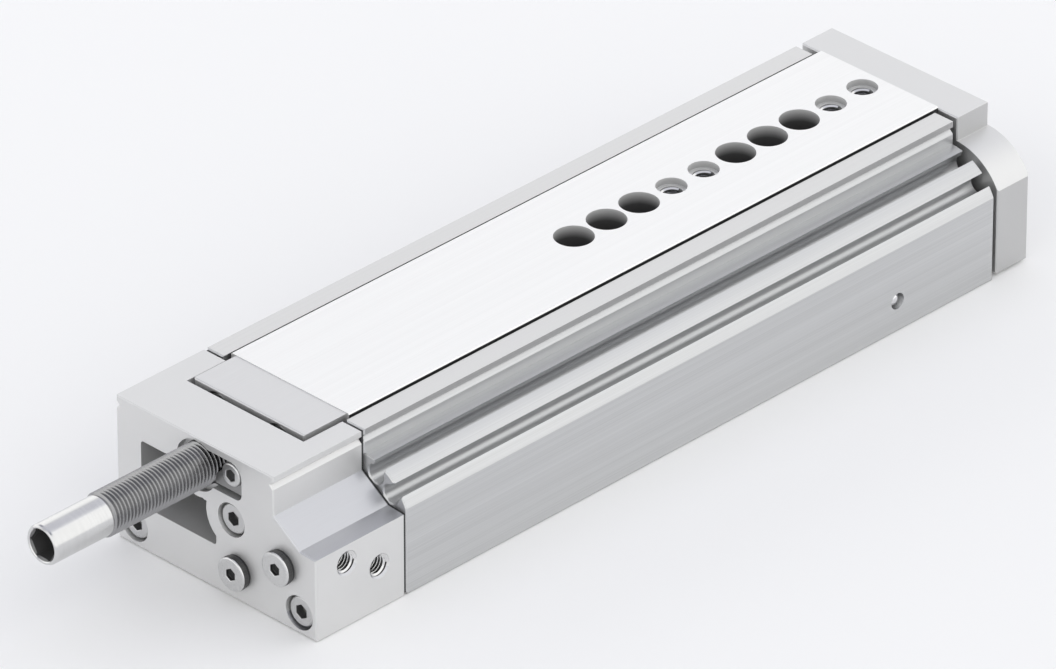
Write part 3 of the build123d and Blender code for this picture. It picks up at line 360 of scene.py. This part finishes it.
# Painted shade: a darker copy of the housing's metal for the upright edge above the grooves.
groove_edge_shade_aluminium = surface(
    "groove_edge_shade_aluminium", colour=(0.42, 0.42, 0.42), roughness=0.4, metallic=0.85,
    grain=(9, 5200, 5200), cloud=(3, 700, 700), tone=0.06, relief=0.3,
)
refinish(housing, channel_shade_aluminium, in_channel)
refinish(housing, strip_lit_aluminium, on_strip)
refinish(housing, groove_edge_shade_aluminium, above_grooves)


# End cap
# Milled from aluminium, fine blasted and clear anodised, so it has an even satin grain. The
# sloping facets beside the ports are left as milled: smoother and a shade darker.
cap_break = 0.00013
facet_width = 0.0125
facet_drop = 0.005
window_from_side = (0.0292, 0.0525)
window_up = (0.0104, 0.0262)
rear_face_margin = 0.0006
port_margin = 0.001
port_start = 0.0055
port_top = 0.019
slightly = 0.3

satin_aluminium = surface(
    "satin_aluminium", colour=(0.69, 0.69, 0.69), roughness=0.45, metallic=0.7,
    grain=(6500, 6500, 6500), cloud=(90, 90, 90), tone=0.025, relief=0.25,
)
milled_aluminium = surface(
    "milled_aluminium", colour=(0.54, 0.545, 0.57), roughness=0.34, metallic=0.85,
    grain=(60, 6200, 6200), cloud=(90, 300, 300), tone=0.025, relief=0.12,
)
shaded_aluminium = surface(
    "shaded_aluminium", colour=(0.4, 0.4, 0.4), roughness=0.5, metallic=0.1,
    grain=(3000, 3000, 3000), cloud=(200, 200, 200), tone=0.05, relief=0.15,
)
# Painted shade: a near-black finish for the port bores.
port_bore_shade_aluminium = surface(
    "port_bore_shade_aluminium", colour=(0.08, 0.08, 0.08), roughness=0.4, metallic=0.6,
    grain=(5000, 60, 5000), cloud=(200, 200, 200), tone=0.05, relief=0.15,
)
rear_cap = softened("rear_cap", satin_aluminium, cap_break)
cap_low, cap_high = extent("rear_cap")
facet_edge = cap_low.y + facet_width


def on_facet(middle, normal):
    """The sloping and level facets over the ports."""
    return middle.y < facet_edge and normal.z > slightly and middle.z < cap_high.z - facet_drop


def in_cap_window(middle, normal):
    """The walls of the window and of what lies behind it."""
    across = window_from_side[0] < middle.y - cap_low.y < window_from_side[1]
    up = window_up[0] < middle.z < window_up[1]
    return across and up and middle.x > cap_low.x + rear_face_margin


def in_port(middle, normal):
    """The bores of the two ports, which open on the slotted side and are painted dark as shade."""
    beside = cap_low.y + port_margin < middle.y < facet_edge
    below = middle.z < port_top
    return beside and below and middle.x > cap_low.x + port_start and abs(normal.y) < mostly


refinish(rear_cap, milled_aluminium, on_facet)
refinish(rear_cap, port_bore_shade_aluminium, in_port)
refinish(rear_cap, shaded_aluminium, in_cap_window)


# Screws, plugs and the clamping jaw in the end cap
# Steel with a bright plating of zinc or nickel and a fine even sheen, with painted shade inside the
# sockets. The plugs sit on black rubber rings, and the jaw is drawn in beside the absorber.
screw_break = 0.0002
seal_break = 0.00015
jaw_break = 0.0001
m4_socket_reach = 0.0019
m3_socket_reach = 0.0015
plug_socket_reach = 0.0019
mouth_margin = 0.00012
plug_neck = 0.003
plug_reach = 0.006

plated_steel = surface(
    "plated_steel", colour=(0.6, 0.6, 0.6), roughness=0.3, metallic=1.0,
    grain=(9000, 9000, 9000), cloud=(300, 300, 300), tone=0.03, relief=0.05,
)
nickel_steel = surface(
    "nickel_steel", colour=(0.66, 0.66, 0.66), roughness=0.27, metallic=1.0,
    grain=(9000, 9000, 9000), cloud=(300, 300, 300), tone=0.02, relief=0.05,
)
knurled_steel = surface(
    "knurled_steel", colour=(0.1, 0.1, 0.1), roughness=0.4, metallic=0.9,
    grain=(90, 5200, 5200), cloud=(300, 300, 300), tone=0.3, relief=0.5,
)
# Painted shade: dark finishes for the insides of sockets, the shallow ones darker still.
socket_shade_steel = surface(
    "socket_shade_steel", colour=(0.16, 0.16, 0.16), roughness=0.35, metallic=0.7,
    grain=(4000, 4000, 4000), cloud=(300, 300, 300), tone=0.1, relief=0.1,
)
shallow_socket_shade_steel = surface(
    "shallow_socket_shade_steel", colour=(0.045, 0.045, 0.045), roughness=0.4, metallic=0.7,
    grain=(4000, 4000, 4000), cloud=(300, 300, 300), tone=0.1, relief=0.1,
)
jaw_steel = surface(
    "jaw_steel", colour=(0.3, 0.3, 0.3), roughness=0.4, metallic=0.9,
    grain=(5000, 5000, 5000), cloud=(200, 200, 200), tone=0.05, relief=0.2,
)
black_rubber = surface(
    "black_rubber", colour=(0.022, 0.022, 0.024), roughness=0.55, metallic=0.0,
    grain=(2500, 2500, 2500), cloud=(300, 300, 300), tone=0.15, relief=0.2,
)


def part_boxes(piece):
    """Lowest and highest corner of each separate part of a piece."""
    shape = bmesh.new()
    shape.from_mesh(piece.data)
    left = set(shape.verts)
    boxes = []
    while left:
        found = [left.pop()]
        for vertex in found:
            for edge in vertex.link_edges:
                other = edge.other_vert(vertex)
                if other in left:
                    left.remove(other)
                    found.append(other)
        low = Vector([min(vertex.co[axis] for vertex in found) for axis in range(3)])
        high = Vector([max(vertex.co[axis] for vertex in found) for axis in range(3)])
        boxes.append((low, high))
    shape.free()
    return boxes


def dark_sockets(piece, reach, finish):
    """The sockets of screws along X, whose heads point backwards, get a dark finish as painted shade.
    """
    boxes = part_boxes(piece)

    def in_socket(middle, normal):
        for low, high in boxes:
            axis = (low + high) / 2
            if math.hypot(middle.y - axis.y, middle.z - axis.z) < reach:
                return middle.x - low.x > mouth_margin
        return False

    refinish(piece, finish, in_socket)


cap_screws = softened("cap_screws", plated_steel, screw_break)
clamp_screw = softened("clamp_screw", plated_steel, screw_break)
port_plugs = softened("port_plugs", nickel_steel, screw_break)
plug_boxes = part_boxes(port_plugs)
softened("plug_seals", black_rubber, seal_break)
dark_sockets(cap_screws, m4_socket_reach, socket_shade_steel)
dark_sockets(clamp_screw, m3_socket_reach, shallow_socket_shade_steel)


def on_plug_side(middle, normal):
    """The round side of a plug's head, away from the neck and the socket."""
    if abs(normal.x) > mostly:
        return False
    for low, high in plug_boxes:
        axis = (low + high) / 2
        near = abs(middle.y - axis.y) < plug_reach and abs(middle.z - axis.z) < plug_reach
        if near and math.hypot(middle.y - axis.y, middle.z - axis.z) <= plug_neck:
            return False
    return True


refinish(port_plugs, knurled_steel, on_plug_side)
dark_sockets(port_plugs, plug_socket_reach, shallow_socket_shade_steel)
softened("clamp_jaw", jaw_steel, jaw_break)
softened("cap_gasket", black_rubber, 0)


# Slide table and stop plate
# The table is drawn and then ground flat: nearly white, with very fine lines along X. The stop
# plate on its back end is satin like the cap, and its lug carries a black buffer.
table_break = 0.00012
plate_break = 0.00015
small_screw_break = 0.00012
table_margin = 0.001
flank_margin = 0.0003
hole_shade = 0.15
hole_shade_depth = 0.003
buffer_thickness = 0.0004
buffer_inset = 0.0006
buffer_break = 0.0001
buffer_sink = 0.0001

ground_aluminium = surface(
    "ground_aluminium", colour=(0.83, 0.83, 0.83), roughness=0.36, metallic=0.7,
    grain=(9, 5600, 5600), cloud=(3, 500, 500), tone=0.03, relief=0.2,
)
stop_aluminium = surface(
    "stop_aluminium", colour=(0.66, 0.66, 0.665), roughness=0.42, metallic=0.75,
    grain=(30, 5200, 5200), cloud=(90, 90, 90), tone=0.03, relief=0.2,
)
slide_table = softened("slide_table", ground_aluminium, table_break)


def in_table_hole(middle, normal):
    """The walls of the holes along the table, which get the painted shade."""
    across = table_low.y + table_margin < middle.y < table_high.y - table_margin
    along = table_low.x + table_margin < middle.x < table_high.x - table_margin
    return across and along and abs(normal.z) < mostly


def on_table_flank(middle, normal):
    """The table's sides and underside, which lie in the channel and are painted dark as shade."""
    outside = middle.y < table_low.y + flank_margin or middle.y > table_high.y - flank_margin
    return (outside and middle.z < table_high.z - table_margin) or normal.z < -mostly


# Painted shade: the hole walls are dark near the table's top and reach full colour lower down.
hole_shade_aluminium = surface(
    "hole_shade_aluminium", colour=(0.6, 0.6, 0.6), roughness=0.4, metallic=0.2,
    grain=(200, 200, 4000), cloud=(200, 200, 200), tone=0.04, relief=0.1,
)
fade(hole_shade_aluminium, "Z", table_high.z - hole_shade_depth, table_high.z, hole_shade)
# Painted shade on the table's sides and underside.
refinish(slide_table, channel_shade_aluminium, on_table_flank)
refinish(slide_table, hole_shade_aluminium, in_table_hole)
softened("stop_plate", stop_aluminium, plate_break)
softened("stop_plate_screws", plated_steel, small_screw_break)

lug_low, lug_high = extent("stop_plate", table_low.z - table_margin)
pad_low = (lug_low.x - buffer_thickness, lug_low.y + buffer_inset, lug_low.z + buffer_inset)
pad_high = (lug_low.x + buffer_sink, lug_high.y - buffer_inset, table_low.z - buffer_inset)
pad_shape = bmesh.new()
bmesh.ops.create_cube(pad_shape, size=1.0)
for vertex in pad_shape.verts:
    vertex.co = [pad_low[axis] if vertex.co[axis] < 0 else pad_high[axis] for axis in range(3)]
bmesh.ops.bevel(
    pad_shape, geom=pad_shape.edges, offset=buffer_break, segments=edge_segments, affect="EDGES"
)
mark_creases(pad_shape)
pad_mesh = bpy.data.meshes.new("stop_buffer")
pad_shape.to_mesh(pad_mesh)
pad_shape.free()
pad_mesh.materials.append(black_rubber)
stop_buffer = link("stop_buffer", pad_mesh)
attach(stop_buffer, nodes["stop_plate"]["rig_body"])


# Yoke plate with its screws, dowels and rod nut
# A milled and satin anodised plate with the outline of the housing. It joins the table to the
# chromed piston rod, whose stud is held by a plated nut.
dowel_break = 0.00008
rod_break = 0.00008

hard_chrome = surface(
    "hard_chrome", colour=(0.7, 0.7, 0.71), roughness=0.1, metallic=1.0,
    grain=(900, 900, 900), cloud=(200, 200, 200), tone=0.03, relief=0.03,
)
# Painted shade: a darker copy of the plate's satin finish for its upright faces.
yoke_side_shade_aluminium = surface(
    "yoke_side_shade_aluminium", colour=(0.54, 0.54, 0.54), roughness=0.42, metallic=0.75,
    grain=(6500, 6500, 6500), cloud=(90, 90, 90), tone=0.025, relief=0.25,
)
yoke_plate = softened("yoke_plate", satin_aluminium, plate_break)


def on_upright_face(middle, normal):
    """The plate's upright faces, which are painted darker than its top as shade."""
    return abs(normal.z) < slightly


refinish(yoke_plate, yoke_side_shade_aluminium, on_upright_face)
softened("yoke_screws", plated_steel, small_screw_break)
softened("yoke_dowels", plated_steel, dowel_break)
softened("rod_nut", plated_steel, screw_break)
softened("piston_rod", hard_chrome, rod_break)


# Guide
# Hardened and ground rails, with polished balls between them in cages of stamped brass. One more
# such ball closes the end of a duct in the housing.
rail_break = 0.0001

ground_steel = surface(
    "ground_steel", colour=(0.3, 0.3, 0.31), roughness=0.3, metallic=1.0,
    grain=(20, 4000, 4000), cloud=(5, 300, 300), tone=0.08, relief=0.2,
)
polished_steel = surface(
    "polished_steel", colour=(0.72, 0.72, 0.73), roughness=0.08, metallic=1.0,
    grain=(700, 700, 700), cloud=(150, 150, 150), tone=0.03, relief=0.02,
)
stamped_brass = surface(
    "stamped_brass", colour=(0.7, 0.55, 0.28), roughness=0.3, metallic=1.0,
    grain=(2000, 2000, 2000), cloud=(200, 200, 200), tone=0.06, relief=0.1,
)
for side in ("right", "left"):
    softened("housing_rail_" + side, ground_steel, rail_break)
    softened("slide_rail_" + side, ground_steel, rail_break)
    softened("ball_cage_" + side, stamped_brass, 0)
    softened("cage_balls_" + side, polished_steel, 0)
softened("duct_ball", polished_steel, 0)


# Threads
# M5 threads are tapped in the ports, the table and the yoke plate, and a fine one is cut on each
# absorber. One tree sweeps a three-sided ridge along a helix and sets a copy on every place.
ridge_sides = 3
# The ridge's side is the pitch, and this share of it is the radius about a three-sided ridge.
flank_share = 1 / math.sqrt(3)
mm_per_metre = 1000
steps_per_turn = 40
m5_crest = 0.00207
m5_pitch = 0.0008
port_thread_length = 0.0058
table_thread_length = 0.0056
yoke_thread_length = 0.0084
countersink = 0.0004
yoke_countersink = 0.0008


def thread_tree():
    """The tree of one thread: places, radius, pitch, length, facing, turn and finish go in."""
    tree = bpy.data.node_groups.new("thread", "GeometryNodeTree")
    sockets = tree.interface
    sockets.new_socket("Places", in_out="INPUT", socket_type="NodeSocketGeometry")
    for label in ("Radius", "Pitch", "Length", "Facing"):
        sockets.new_socket(label, in_out="INPUT", socket_type="NodeSocketFloat")
    sockets.new_socket("Turn", in_out="INPUT", socket_type="NodeSocketVector")
    sockets.new_socket("Finish", in_out="INPUT", socket_type="NodeSocketMaterial")
    sockets.new_socket("Thread", in_out="OUTPUT", socket_type="NodeSocketGeometry")
    given = tree.nodes.new("NodeGroupInput")
    turns = tree.nodes.new("ShaderNodeMath")
    turns.operation = "DIVIDE"
    helix = tree.nodes.new("GeometryNodeCurveSpiral")
    helix.inputs["Resolution"].default_value = steps_per_turn
    upright = tree.nodes.new("GeometryNodeSetCurveNormal")
    upright.mode = "Z_UP"
    flank = tree.nodes.new("ShaderNodeMath")
    flank.operation = "MULTIPLY"
    flank.inputs[1].default_value = flank_share
    ridge = tree.nodes.new("GeometryNodeCurvePrimitiveCircle")
    ridge.inputs["Resolution"].default_value = ridge_sides
    facing = tree.nodes.new("ShaderNodeCombineXYZ")
    faced = tree.nodes.new("GeometryNodeTransform")
    sweep = tree.nodes.new("GeometryNodeCurveToMesh")
    sweep.inputs["Fill Caps"].default_value = True
    copies = tree.nodes.new("GeometryNodeInstanceOnPoints")
    turned = tree.nodes.new("GeometryNodeRotateInstances")
    real = tree.nodes.new("GeometryNodeRealizeInstances")
    dressed = tree.nodes.new("GeometryNodeSetMaterial")
    result = tree.nodes.new("NodeGroupOutput")
    tree.links.new(given.outputs["Length"], turns.inputs[0])
    tree.links.new(given.outputs["Pitch"], turns.inputs[1])
    tree.links.new(turns.outputs[0], helix.inputs["Rotations"])
    tree.links.new(given.outputs["Radius"], helix.inputs["Start Radius"])
    tree.links.new(given.outputs["Radius"], helix.inputs["End Radius"])
    tree.links.new(given.outputs["Length"], helix.inputs["Height"])
    tree.links.new(helix.outputs[0], upright.inputs["Curve"])
    tree.links.new(given.outputs["Pitch"], flank.inputs[0])
    tree.links.new(flank.outputs[0], ridge.inputs["Radius"])
    tree.links.new(given.outputs["Facing"], facing.inputs["Z"])
    tree.links.new(ridge.outputs["Curve"], faced.inputs["Geometry"])
    tree.links.new(facing.outputs[0], faced.inputs["Rotation"])
    tree.links.new(upright.outputs[0], sweep.inputs["Curve"])
    tree.links.new(faced.outputs[0], sweep.inputs["Profile Curve"])
    tree.links.new(given.outputs["Places"], copies.inputs["Points"])
    tree.links.new(sweep.outputs[0], copies.inputs["Instance"])
    tree.links.new(copies.outputs[0], turned.inputs["Instances"])
    tree.links.new(given.outputs["Turn"], turned.inputs["Rotation"])
    tree.links.new(turned.outputs[0], real.inputs[0])
    tree.links.new(real.outputs[0], dressed.inputs["Geometry"])
    tree.links.new(given.outputs["Finish"], dressed.inputs["Material"])
    tree.links.new(dressed.outputs[0], result.inputs[0])
    return tree


thread = thread_tree()


def threads(name, places, radius, pitch, length, turn, finish, node, inward=True):
    """Threads with their crests at the given radius, starting at places and running along turned Z."""
    mesh = bpy.data.meshes.new(name)
    mesh.from_pydata(places, [], [])
    piece = link(name, mesh)
    grown = piece.modifiers.new("thread", "NODES")
    grown.node_group = thread
    reach = pitch * flank_share
    values = {
        "Radius": radius + reach if inward else radius - reach,
        "Pitch": pitch,
        "Length": length,
        "Facing": 0.0 if inward else math.pi,
        "Turn": turn,
        "Finish": finish,
    }
    for item in thread.interface.items_tree:
        if item.name in values:
            grown[item.identifier] = values[item.name]
    graph = bpy.context.evaluated_depsgraph_get()
    solid = bpy.data.meshes.new_from_object(piece.evaluated_get(graph))
    piece.modifiers.clear()
    shape = bmesh.new()
    shape.from_mesh(solid)
    bmesh.ops.recalc_face_normals(shape, faces=shape.faces)
    mark_creases(shape)
    shape.to_mesh(solid)
    shape.free()
    piece.data = solid
    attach(piece, nodes[node]["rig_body"])
    return piece


mount = {row["name"]: row for row in frame["record"]["mounts"]}
cut_aluminium = surface(
    "cut_aluminium", colour=(0.7, 0.7, 0.7), roughness=0.2, metallic=1.0,
    grain=(300, 300, 300), cloud=(100, 100, 100), tone=0.05, relief=0.05,
)
port_places = []
for end in ("rear", "front"):
    port = Vector(mount["supply_port_" + end]["pos_m"])
    port_places.append((port.x, cap_low.y + countersink, port.z))
to_plain_side = (math.radians(-90), 0, 0)
along_x = (0, math.radians(90), 0)
threads(
    "port_threads", port_places, m5_crest, m5_pitch, port_thread_length, to_plain_side, cut_aluminium,
    "rear_cap",
)

table_places = []
for name in ("table_threads_front", "table_threads_rear"):
    middle = Vector(mount[name]["pos_m"])
    half = mount[name]["dims"]["spacing_x_mm"] / mm_per_metre / 2
    start = middle.z - table_thread_length - countersink
    for step in (-half, half):
        table_places.append((middle.x + step, middle.y, start))
threads(
    "table_threads", table_places, m5_crest, m5_pitch, table_thread_length, (0, 0, 0), cut_aluminium,
    "slide_table",
)

yoke_middle = Vector(mount["yoke_threads"]["pos_m"])
yoke_back = extent("yoke_plate")[0].x
yoke_across = mount["yoke_threads"]["dims"]["spacing_x_mm"] / mm_per_metre / 2
yoke_up = mount["yoke_threads"]["dims"]["spacing_y_mm"] / mm_per_metre / 2
yoke_places = [
    (yoke_back + yoke_countersink, yoke_middle.y + y, yoke_middle.z + z)
    for y in (-yoke_across, yoke_across)
    for z in (-yoke_up, yoke_up)
]
threads(
    "yoke_threads", yoke_places, m5_crest, m5_pitch, yoke_thread_length, along_x, satin_aluminium,
    "yoke_plate",
)


# Shock absorbers
# A dark turned body with a fine thread, and a bright sleeve with a hexagon socket in its end.
# The rod is hard chromed. The front one is the same, turned round.
thread_length = 0.0366
thread_pitch = 0.001
thread_crest = 0.005
thread_root = 0.0044
thread_start = 0.0008
thread_end = 0.001
nose_bevel = 0.0004
rod_hole_radius = 0.0016
rod_hole_depth = 0.012
sleeve_radius = 0.0046
sleeve_setback = 0.0006
sleeve_bevel = 0.0002
socket_rim_radius = 0.0039
socket_rim_depth = 0.0006
socket_reach = 0.0032
socket_depth = 0.0055
socket_point_radius = 0.0004
socket_point_length = 0.0008
socket_zone = 0.0038
socket_mouth = 0.0003
around = 96
rod_end_break = 0.0001
block_break = 0.00012

dark_steel = surface(
    "dark_steel", colour=(0.33, 0.33, 0.335), roughness=0.24, metallic=1.0,
    grain=(5000, 60, 60), cloud=(300, 300, 300), tone=0.08, relief=0.1,
)
sleeve_steel = surface(
    "sleeve_steel", colour=(0.64, 0.64, 0.64), roughness=0.22, metallic=1.0,
    grain=(4000, 60, 60), cloud=(200, 200, 200), tone=0.04, relief=0.05,
)


def hexagon(angle, reach):
    """Distance from the middle to a hexagon's side in the direction of an angle."""
    sixth = math.pi / 3
    return reach / math.cos(angle % sixth - sixth / 2)


def turned_body(name, rings, axis_y, axis_z, finish):
    """Rings of X, radius and shape about an axis along X, joined to a closed body."""
    shape = bmesh.new()
    loops = []
    for x, radius, six in rings:
        loop = []
        for step in range(around):
            angle = 2 * math.pi * step / around
            out = hexagon(angle, radius) if six else radius
            place = (x, axis_y + out * math.cos(angle), axis_z + out * math.sin(angle))
            loop.append(shape.verts.new(place))
        loops.append(loop)
    for before, after in zip(loops, loops[1:]):
        for step in range(around):
            ahead = (step + 1) % around
            shape.faces.new((before[step], before[ahead], after[ahead], after[step]))
    shape.faces.new(loops[0])
    shape.faces.new(loops[-1])
    bmesh.ops.recalc_face_normals(shape, faces=shape.faces)
    mark_creases(shape)
    mesh = bpy.data.meshes.new(name)
    shape.to_mesh(mesh)
    shape.free()
    mesh.materials.append(finish)
    return link(name, mesh)


def absorber(node, rod, sense):
    """Body and rod of an absorber whose rod end points along sense on X."""
    low, high = extent(node)
    axis_y = (low.y + high.y) / 2
    axis_z = (low.z + high.z) / 2
    front = high.x if sense > 0 else low.x
    back = low.x if sense > 0 else high.x
    shoulder = front - sense * thread_length
    sleeve_start = shoulder + sense * sleeve_setback
    socket_end = back + sense * socket_depth
    rings = [
        (front - sense * rod_hole_depth, rod_hole_radius, False),
        (front, rod_hole_radius, False),
        (front, thread_root - nose_bevel, False),
        (front - sense * nose_bevel, thread_root, False),
        (sleeve_start, thread_root, False),
        (sleeve_start, sleeve_radius - sleeve_bevel, False),
        (sleeve_start - sense * sleeve_bevel, sleeve_radius, False),
        (back + sense * 3 * sleeve_bevel, sleeve_radius, False),
        (back + sense * sleeve_bevel, sleeve_radius - sleeve_bevel, False),
        (back, sleeve_radius - 2 * sleeve_bevel, False),
        (back, socket_rim_radius, False),
        (back + sense * sleeve_bevel, socket_rim_radius - sleeve_bevel, False),
        (back + sense * socket_rim_depth, socket_reach, True),
        (socket_end, socket_reach, True),
        (socket_end + sense * socket_point_length, socket_point_radius, False),
    ]

    def on_sleeve(middle, normal):
        return (sleeve_start - middle.x) * sense > -sleeve_bevel / 2

    def in_absorber_socket(middle, normal):
        along = (middle.x - back) * sense > socket_mouth and (shoulder - middle.x) * sense > 0
        return along and math.hypot(middle.y - axis_y, middle.z - axis_z) < socket_zone

    body = turned_body(node + "_turned", rings, axis_y, axis_z, dark_steel)
    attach(body, nodes[node]["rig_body"])
    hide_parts(node)
    refinish(body, sleeve_steel, on_sleeve)
    # Painted shade inside the absorber's socket.
    refinish(body, socket_shade_steel, in_absorber_socket)
    start = (min(front, shoulder) + thread_start, axis_y, axis_z)
    cut_length = thread_length - thread_start - thread_end
    threads(
        node + "_thread", [start], thread_crest, thread_pitch, cut_length, along_x, dark_steel, node,
        inward=False,
    )
    softened(rod, hard_chrome, rod_end_break)


absorber("rear_absorber_body", "rear_absorber_rod", 1)
absorber("front_absorber_body", "front_absorber_rod", -1)
softened("front_stop_block", satin_aluminium, block_break)
softened("front_block_screws", plated_steel, small_screw_break)


# Cylinder
# Aluminium piston and rod guide, rubber seals, a bonded magnet ring and a sintered bushing. They
# lie out of sight behind the end cap and the yoke plate.
inner_break = 0.00008

sintered_bronze = surface(
    "sintered_bronze", colour=(0.5, 0.33, 0.16), roughness=0.5, metallic=1.0,
    grain=(5000, 5000, 5000), cloud=(400, 400, 400), tone=0.15, relief=0.4,
)
bonded_magnet = surface(
    "bonded_magnet", colour=(0.05, 0.05, 0.055), roughness=0.5, metallic=0.0,
    grain=(3000, 3000, 3000), cloud=(400, 400, 400), tone=0.2, relief=0.3,
)
inner_finishes = {
    "piston": satin_aluminium,
    "rod_guide": satin_aluminium,
    "rod_bushing": sintered_bronze,
    "rod_seal": black_rubber,
    "rod_guide_ring": black_rubber,
    "piston_seals": black_rubber,
    "piston_magnet": bonded_magnet,
    "retaining_ring": ground_steel,
}
for name, finish in inner_finishes.items():
    softened(name, finish, inner_break)
